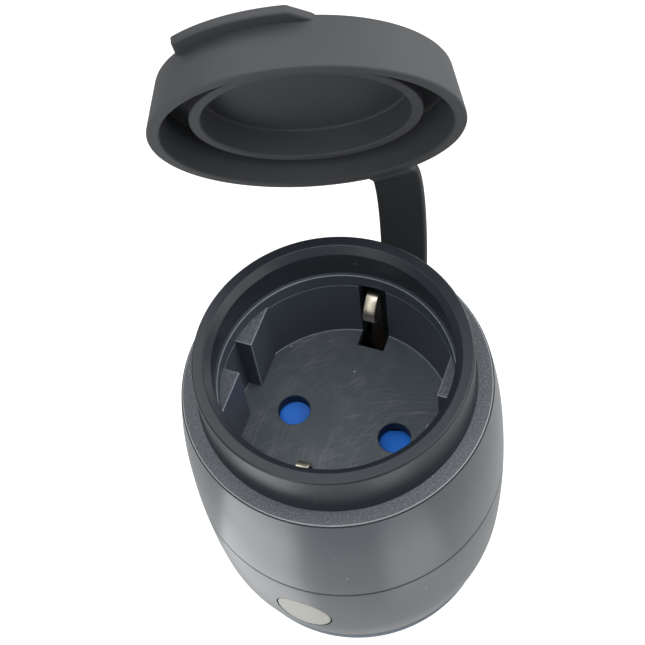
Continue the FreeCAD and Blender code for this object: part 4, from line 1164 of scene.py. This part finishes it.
    def clips(self) -> None:
        """The sprung earth clips: one strip, bridged under the well and looped over at each end."""
        path = [(-across, high) for across, high in (self.clip_bridge + self.front_loop)[:0:-1]]
        path += self.clip_bridge + self.back_loop
        form = bmesh.new()
        left = self.clip_shift - self.clip / 2
        verts = [form.verts.new((left, across, high)) for across, high in path]
        edges = [form.edges.new(pair) for pair in zip(verts, verts[1:])]
        grown = bmesh.ops.extrude_edge_only(form, edges=edges)
        bmesh.ops.translate(form, vec=(self.clip, 0, 0), verts=grown_verts(grown))
        outwards(form)
        clip = self.shop.piece("earth_clip_strip", form, [self.shop.palette.nickel, self.shop.palette.bare],
                               "housing", ["earth_clips"], smooth=60.0)
        wall = clip.modifiers.new("thickness", "SOLIDIFY")
        wall.thickness = self.clip_thick * MM
        wall.offset = 0.0
        wall.material_offset = 1
        edge = clip.modifiers.new("edges", "BEVEL")
        edge.width = self.clip_edge * MM
        edge.segments = 2
        edge.angle_limit = math.radians(50)


@dataclass
class Strap:
    """The strap: a flat band on the curve that the CAD gives it, in two lengths."""

    foot: Vector = field(default_factory=lambda: Vector((0.5, 28.9, 45.6)))
    leave: float = 5.0
    arrive: float = 4.0
    width: float = 8.7
    thick: float = 1.9
    edge: float = 0.45
    ear: float = 27.2
    ear_turn: float = 3.0

    def frames(self, cap: Matrix, steps: int) -> list[tuple[Vector, Vector, Vector]]:
        """Places along the strap.

        Args:
            cap: where the cap stands.
            steps: how many.

        Returns:
            For each place, its middle, the direction across and the direction out.
        """
        end = cap @ Matrix.Rotation(math.radians(self.ear_turn), 4, "Z")
        arrival = end @ Vector((self.ear, 0, self.thick / 2))
        outward = end.to_3x3() @ Vector((1, 0, 0))
        across_cap = end.to_3x3() @ Vector((0, -1, 0))
        hold = (self.foot, self.foot + Vector((0, self.leave, 0)), arrival + outward * self.arrive, arrival)
        places = []
        for step in range(steps + 1):
            share = step / steps
            rest = 1 - share
            point = (hold[0] * rest ** 3 + hold[1] * 3 * rest * rest * share
                     + hold[2] * 3 * rest * share * share + hold[3] * share ** 3)
            ahead = ((hold[1] - hold[0]) * rest * rest + (hold[2] - hold[1]) * 2 * rest * share
                     + (hold[3] - hold[2]) * share * share).normalized()
            across = Vector((1, 0, 0)) * rest + across_cap * share
            across = (across - ahead * across.dot(ahead)).normalized()
            places.append((point, across, across.cross(ahead)))
        return places

    def band(self, places: Sequence[tuple[Vector, Vector, Vector]]) -> Form:
        """A band with rounded edges through places.

        Args:
            places: the places, as frames gives them.

        Returns:
            The form.
        """
        wide, deep = self.width / 2 - self.edge, self.thick / 2 - self.edge
        section = []
        for sign_x, sign_y, start in ((1, -1, -90), (1, 1, 0), (-1, 1, 90), (-1, -1, 180)):
            section += arc((sign_x * wide, sign_y * deep), self.edge, start, start + 90, 3)
        form = bmesh.new()
        rings = []
        for point, across, out in places:
            verts = [form.verts.new(point + across * x + out * y) for x, y in section]
            rings.append([form.edges.new(pair) for pair in zip(verts, verts[1:] + verts[:1])])
        for first, second in zip(rings, rings[1:]):
            bmesh.ops.bridge_loops(form, edges=first + second)
        for ring in (rings[0], rings[-1]):
            bmesh.ops.contextual_create(form, geom=ring)
        outwards(form)
        return form


@dataclass
class Cap:
    """The rubber cap with its sealing ring, pull tab, ear and strap."""

    shop: Workshop
    strap: Strap = field(default_factory=Strap)
    strap_steps: int = 48
    height: float = 9.4
    crown: float = 1.8
    mouth: float = 25.9
    mouth_edge: float = 0.42
    back: float = 24.0
    flare: Point = (25.35, 2.8)
    edge: float = 1.0
    bore: float = 23.75
    ring_edge: float = 0.35
    root: float = 23.5
    root_edge: float = 0.5
    ring: Point = (17.1, 19.0)
    recess: float = 2.6
    ear_root: float = 1.2
    tab_turn: float = 192.0
    tab_sweep: float = 59.0
    tab_lead: float = 7.5
    tab_slant: float = 9.5
    tab_root: float = 22.0
    tab_reach: float = 27.3
    tab_thick: float = 1.5
    shut_height: float = 83.7
    shut_turn: float = 81.5
    opened: float = 73.17
    hinge_azimuth: float = 22.7
    hinge_rise: float = 1.66
    hinge_reach: float = 27.88
    hinge_height: float = 74.07

    def stand(self) -> Matrix:
        """Where the open cap stands: shut, lifted and swung back about the line of the strap.

        Returns:
            The cap's place.
        """
        azimuth, rise = math.radians(self.hinge_azimuth), math.radians(self.hinge_rise)
        axis = Vector((math.cos(azimuth) * math.cos(rise), math.sin(azimuth) * math.cos(rise),
                       math.sin(rise)))
        pivot = Vector((-self.hinge_reach * math.sin(azimuth), self.hinge_reach * math.cos(azimuth),
                        self.hinge_height))
        turn = Matrix.Rotation(math.radians(self.shut_turn), 4, "Z")
        shut = Matrix.Translation((0, 0, self.shut_height)) @ turn
        swing = Matrix.Rotation(math.radians(-self.opened), 4, axis)
        return Matrix.Translation(pivot) @ swing @ Matrix.Translation(-pivot) @ shut

    def build(self) -> None:
        """Make the cap and both lengths of the strap."""
        form = joined([self.dome(), self.strap_ear(), self.tab()])
        place = self.stand()
        bmesh.ops.transform(form, matrix=place, verts=form.verts)
        self.shop.piece("cap_moulding", form, [self.shop.palette.cap], "cap", ["flip_cap"], smooth=40.0)
        places = self.strap.frames(place, self.strap_steps)
        middle = self.strap_steps // 2
        # The strap's finish is darker than the cap's: painted shade from the cap.
        finishes = [self.shop.palette.strap]
        low = self.shop.piece("cap_strap_lower", self.strap.band(places[:middle + 1]), finishes,
                              None, ["cap_strap"])
        high = self.shop.piece("cap_strap_upper", self.strap.band(places[middle:]), finishes,
                               None, ["cap_strap"])
        places[2][0] * MM
        places[middle - 1][0] * MM
        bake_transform(low)
        places[middle + 1][0] * MM
        places[-1][0] * MM
        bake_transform(high)

    def dome(self) -> Form:
        """The cup with its skirt and the sealing ring inside.

        Returns:
            The form.
        """
        crown_low = self.height - self.crown
        outline = [(0.0, self.height), (self.back, self.height), self.flare, (self.mouth, 0.0),
                   (self.bore, 0.0), (self.root, crown_low), (self.ring[1], crown_low),
                   (self.ring[1], self.recess), (self.ring[0], self.recess), (self.ring[0], crown_low),
                   (0.0, crown_low)]
        form = spun(outline, closed=False)
        soften(form, [(self.back, self.height)], self.edge, 5)
        soften(form, [(self.mouth, 0.0)], self.mouth_edge, 4)
        soften(form, [(self.bore, 0.0)], self.ring_edge, 4)
        soften(form, [(self.ring[0], self.recess), (self.ring[1], self.recess)], self.ring_edge, 4)
        soften(form, [(self.root, crown_low), (self.ring[0], crown_low), (self.ring[1], crown_low)],
               self.root_edge, 4)
        return form

    def strap_ear(self) -> Form:
        """The ear on the skirt that carries the strap.

        Returns:
            The form.
        """
        half = self.strap.width / 2
        ear = block((self.mouth - self.ear_root, -half, 0.0), (self.strap.ear, half, self.strap.thick))
        outward = [edge for edge in ear.edges if abs(edge.verts[0].co.x - edge.verts[1].co.x) > 1]
        rounded(ear, outward, self.strap.edge, 3)
        turned(ear, self.strap.ear_turn)
        return ear

    def tab(self) -> Form:
        """The pull tab: the back plate carried out past the skirt, slanted at both ends.

        Returns:
            The form.
        """
        low, high = self.height - self.tab_thick, self.height
        form = spun([(self.tab_root, low), (self.tab_reach, low), (self.tab_reach, high),
                     (self.tab_root, high)], 40, sweep=self.tab_sweep)
        bmesh.ops.holes_fill(form, edges=[edge for edge in form.edges if edge.is_boundary], sides=8)
        ends = ((self.tab_lead, 0.0), (self.tab_sweep - self.tab_slant, self.tab_sweep))
        for outer, root in ends:
            corner = Vector((*polar(self.tab_reach, outer), 0.0))
            slope = Vector((*polar(self.back, root), 0.0)) - corner
            away = Vector((-slope.y, slope.x, 0.0))
            if away.dot(corner) < 0.0:
                away.negate()
            bmesh.ops.bisect_plane(form, geom=form.verts[:] + form.edges[:] + form.faces[:], dist=0.0001,
                                   plane_co=corner, plane_no=away, clear_outer=True)
            bmesh.ops.holes_fill(form, edges=[edge for edge in form.edges if edge.is_boundary], sides=60)
        outwards(form)
        sharp = [edge for edge in form.edges if edge.calc_face_angle(0.0) > math.radians(25)]
        rounded(form, sharp, self.strap.edge, 3)
        turned(form, self.tab_turn - self.tab_sweep / 2)
        return form


@dataclass
class Plug:
    """The plug below the barrel: base, pins, side earth strips and the soft seal."""

    shop: Workshop
    radius: float = 18.5
    face: float = 17.5
    face_edge: float = 1.0
    flange: Place = (20.2, 20.0, 22.0)
    pins: float = 9.5
    pin_radius: float = 2.4
    pin_end: Point = (-19.0, -16.6)
    pin_neck: float = 2.0
    pin_collar: Place = (3.2, 8.0, 10.0)
    pin_tail: Point = (1.6, 28.75)
    strip_half: float = 3.15
    strip_bed: float = 16.95
    key_ways: Place = (16.2, 2.5, 13.7)
    key_top: float = 16.4
    sleeve: Point = (3.2, 10.0)
    sleeve_mouth: float = 2.45
    screws: Place = (21.3, 45.0, 2.75)
    posts: Point = (18.0, 2.0)
    board: float = 28.75
    fit: float = 0.05
    seal: float = 25.4
    seal_heights: Point = (14.2, 17.0)
    seal_gap: float = 0.1
    seal_lip: float = 0.93

    def build(self) -> None:
        """Make the base, the pins and the seal."""
        self.base()
        collar, collar_low, collar_high = self.pin_collar
        tail, tail_top = self.pin_tail
        for side, name in ((1, "live_pin"), (-1, "neutral_pin")):
            outline = [(0.0, self.pin_end[0])] + arc((0.0, self.pin_end[1]), self.pin_radius, -80, 0, 9)
            outline += [(self.pin_radius, 0.0), (self.pin_neck, 0.0), (self.pin_neck, collar_low),
                        (collar, collar_low), (collar, collar_high), (tail, collar_high),
                        (tail, tail_top), (0.0, tail_top)]
            form = spun(outline, 56, closed=False)
            moved(form, side * self.pins, 0, 0)
            self.shop.piece(f"{name}_turned", form, [self.shop.palette.nickel], "housing", [name])
        self.ring()

    def base(self) -> None:
        """The moulded base, cut for the pins, the earth sleeve, the side strips and the key ways."""
        flange, flange_low, flange_top = self.flange
        form = spun([(0.0, 0.0), (self.face, 0.0)]
                    + arc((self.face, self.face_edge), self.face_edge, -72, 0, 5)
                    + [(self.radius, flange_low), (flange, flange_low), (flange, flange_top),
                       (0.0, flange_top)], closed=False)
        above = flange_top + SPARE
        collar, collar_low, collar_high = self.pin_collar
        way, way_near, way_far = self.key_ways
        tools = []
        for side in (1, -1):
            tools.append(rod(side * self.pins, 0, -SPARE, above, self.pin_neck + self.fit))
            tools.append(rod(side * self.pins, 0, collar_low, collar_high, collar + self.fit))
            near, far = sorted((side * self.strip_bed, side * 22.0))
            tools.append(block((-self.strip_half, near, -SPARE), (self.strip_half, far, above)))
            for along in (1, -1):
                low_x, high_x = sorted((side * way, side * 30.0))
                low_y, high_y = sorted((along * way_near, along * way_far))
                tools.append(block((low_x, low_y, -SPARE), (high_x, high_y, self.key_top)))
        sleeve, sleeve_place = self.sleeve
        tools.append(rod(0, sleeve_place, 1.0, above, sleeve))
        tools.append(rod(0, sleeve_place, -SPARE, 1.5, self.sleeve_mouth))
        screw_place, screw_start, screw_room = self.screws
        tools += [rod(*polar(screw_place, screw_start + 90 * turn), flange_low, above, screw_room)
                  for turn in range(4)]
        form = carved(form, tools)
        post_place, post_radius = self.posts
        posts = [rod(side * post_place, 0, flange_top - SPARE, self.board, post_radius) for side in (1, -1)]
        self.shop.piece("plug_base_moulding", joined([form] + posts), [self.shop.palette.plug], "housing",
                        ["plug_base"], smooth=28.0)

    def ring(self) -> None:
        """The seal under the barrel with its raised lip."""
        inner, lip = self.radius + self.seal_gap, self.seal_lip
        low, high = self.seal_heights
        form = spun([(inner, high), (inner, low + lip), (self.seal - 3 * lip, low + lip),
                     (self.seal - 2 * lip, low)]
                    + arc((self.seal - lip, low + lip), lip, -90, 0, 5) + [(self.seal, high)])
        self.shop.piece("plug_seal_ring", form, [self.shop.palette.seal], "housing", ["plug_seal"])


@dataclass
class Inside:
    """The pieces inside the housing and under the cap that keep their CAD shape."""

    shop: Workshop

    def build(self, nodes: dict[str, bpy.types.Object]) -> None:
        """Dress each node.

        Args:
            nodes: the frame's nodes.
        """
        palette = self.shop.palette
        finishes = {
            "shutter": palette.shutter, "shutter_spring": palette.steel, "contact_carrier": palette.plug,
            "live_contact": palette.brass, "neutral_contact": palette.brass, "circuit_board": palette.board,
            "relay": palette.plug, "film_capacitor": palette.amber, "storage_capacitor": palette.tin,
            "fuse": palette.brown, "varistor": palette.shutter, "radio_module": palette.board,
            "aerial": palette.brass, "button_seal": palette.gasket, "tact_switch": palette.plug,
            "switch_plunger": palette.button, "earth_pin_sleeve": palette.brass,
            "plug_earth_strip": palette.nickel, "earth_link": palette.brass, "housing_screws": palette.steel,
            "insert_screws": palette.steel, "board_screws": palette.steel, "strap_foot": palette.strap,
        # strap_foot takes the strap's finish, whose darker tone is painted shade.
        }
        for name, finish in finishes.items():
            self.shop.dress(nodes, name, finish)


@dataclass(frozen=True)
class Lamp:
    """A soft rectangular lamp aimed at a point, in metres and watts."""

    name: str
    place: Place
    target: Place
    size: Point
    power: float

    def hang(self) -> None:
        """Put the lamp in its place, out of the camera's sight."""
        data = bpy.data.lights.new(self.name, "AREA")
        data.shape = "RECTANGLE"
        data.size, data.size_y = self.size
        data.energy = self.power
        thing = placed(self.name, data)
        aim = Vector(self.target) - Vector(self.place)
        turn = aim.to_track_quat("-Z", "Y").to_matrix().to_4x4()
        thing.matrix_world = Matrix.Translation(self.place) @ turn
        thing.visible_camera = False


@dataclass(frozen=True)
class Backdrop:
    """How bright the world or the floor is to the camera, to gloss and to all other light."""

    seen: float
    mirrored: float
    even: float

    def level(self, tree: bpy.types.NodeTree) -> Maths:
        """Add the nodes that tell the rays apart.

        Args:
            tree: the node tree.

        Returns:
            The brightness.
        """
        path = tree.nodes.new("ShaderNodeLightPath")
        seen = Maths(tree, path.outputs["Is Camera Ray"]) + Maths(tree, path.outputs["Is Transmission Ray"])
        mirrored = Maths(tree, path.outputs["Is Glossy Ray"])
        return seen * self.seen + mirrored * self.mirrored + self.even


@dataclass
class Studio:
    """Floor, lamps and the camera at the photograph's angle."""

    eye: Vector = field(default_factory=lambda: Vector((0.054677, -0.103392, 0.285901)))
    right: Vector = field(default_factory=lambda: Vector((0.93804779, 0.3347375, -0.08953855)))
    up: Vector = field(default_factory=lambda: Vector((-0.24553469, 0.82445914, 0.50988218)))
    back: Vector = field(default_factory=lambda: Vector((0.24449756, -0.45630903, 0.85557174)))
    lens: float = 80.176
    floor_height: float = -0.0192
    floor_radius: float = 3.0
    floor_tone: Colour = (0.5, 0.5, 0.5, 1.0)
    sky: Backdrop = Backdrop(seen=0.85, mirrored=0.1, even=0.15)
    paper: Backdrop = Backdrop(seen=0.75, mirrored=0.28, even=0.07)
    lamps: tuple[Lamp, ...] = (
        Lamp("window_left", (-0.10, -0.33, 0.08), (-0.01, 0.0, 0.03), (0.16, 0.10), 0.25),
        Lamp("low_left", (-0.045, -0.075, -0.018), (-0.040, -0.065, 0.10), (0.07, 0.06), 0.029),
        Lamp("low_front", (-0.033, -0.042, -0.018), (-0.028, -0.034, 0.10), (0.05, 0.035), 0.0055),
        Lamp("low_right", (0.057, -0.042, -0.018), (0.050, -0.035, 0.10), (0.04, 0.08), 0.0085),
        Lamp("window_right", (0.32, 0.08, 0.25), (0.0, 0.0, 0.07), (0.09, 0.09), 0.15),
        Lamp("glint_right", (0.316, -0.085, 0.278), (-0.02, 0.005, 0.081), (0.06, 0.06), 0.12),
        Lamp("glint_front", (-0.097, -0.342, 0.319), (0.0, 0.018, 0.068), (0.12, 0.18), 0.15),
        Lamp("door_behind", (0.17, 0.34, 0.16), (0.02, 0.0, 0.045), (0.12, 0.26), 0.42),
        Lamp("bank_middle", (0.08, -0.02, 0.50), (0.0, 0.0, 0.06), (0.34, 0.34), 0.42),
        Lamp("bank_back", (-0.12, 0.19, 0.50), (0.0, 0.0, 0.06), (0.14, 0.14), 0.12),
        Lamp("bank_left", (-0.26, 0.06, 0.40), (0.0, 0.0, 0.06), (0.24, 0.24), 0.5),
        Lamp("bank_right", (0.24, 0.14, 0.38), (0.0, 0.0, 0.06), (0.20, 0.20), 0.45),
        Lamp("bank_front", (-0.02, -0.18, 0.50), (0.0, 0.0, 0.06), (0.20, 0.20), 0.4),
    )

    def build(self) -> None:
        """Set the camera, the world, the floor and the lamps."""
        self.camera()
        self.world()
        self.floor()
        for lamp in self.lamps:
            lamp.hang()

    def camera(self) -> None:
        """The camera, turned to the three directions that were fitted to the photograph."""
        data = bpy.data.cameras.new("view")
        data.lens = self.lens
        data.sensor_width = 36.0
        data.clip_start = 0.01
        thing = placed("view", data)
        turn = Matrix((self.right, self.up, self.back)).transposed()
        thing.matrix_world = Matrix.Translation(self.eye) @ turn.to_4x4()
        bpy.context.scene.camera = thing

    def world(self) -> None:
        """An even world that the camera sees as white."""
        world = bpy.data.worlds.new("paper")
        world.use_nodes = True
        tree = world.node_tree
        tree.nodes.clear()
        sky = tree.nodes.new("ShaderNodeBackground")
        sky.inputs["Color"].default_value = (1.0, 1.0, 1.0, 1.0)
        level = self.sky.level(tree).above(level=0.0, soft=1.0)
        tree.links.new(level.socket, sky.inputs["Strength"])
        out = tree.nodes.new("ShaderNodeOutputWorld")
        tree.links.new(sky.outputs[0], out.inputs[0])
        bpy.context.scene.world = world
        bpy.context.scene.view_settings.view_transform = "Standard"

    def floor(self) -> None:
        """A round floor under the pins that the camera sees as white where no shadow falls."""
        form = bmesh.new()
        bmesh.ops.create_circle(form, cap_ends=True, segments=96, radius=self.floor_radius)
        moved(form, 0, 0, self.floor_height)
        thing = meshed("floor", form)
        material = bpy.data.materials.new("white_paper")
        material.use_nodes = True
        tree = material.node_tree
        tree.nodes.clear()
        paper = tree.nodes.new("ShaderNodeBsdfDiffuse")
        paper.inputs["Color"].default_value = self.floor_tone
        glow = tree.nodes.new("ShaderNodeEmission")
        tree.links.new(self.paper.level(tree).socket, glow.inputs["Strength"])
        both = tree.nodes.new("ShaderNodeAddShader")
        tree.links.new(paper.outputs[0], both.inputs[0])
        tree.links.new(glow.outputs[0], both.inputs[1])
        out = tree.nodes.new("ShaderNodeOutputMaterial")
        tree.links.new(both.outputs[0], out.inputs[0])
        thing.data.materials.append(material)
        thing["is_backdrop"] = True


def corners() -> list[list[float]]:
    """The whole object's box as plain numbers."""
    return [list(map(float, corner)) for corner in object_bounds()]


def main() -> None:
    """Load the frame and build the socket in order."""
    logging.basicConfig(level=logging.INFO, format="%(name)s: %(message)s")
    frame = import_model()
    shop = Workshop(Palette())
    Housing(shop).build()
    Collar(shop).build()
    Well(shop).build()
    Cap(shop).build()
    Plug(shop).build()
    Inside(shop).build(frame["nodes"])
    Studio().build()


if __name__ == "__main__":
    main()
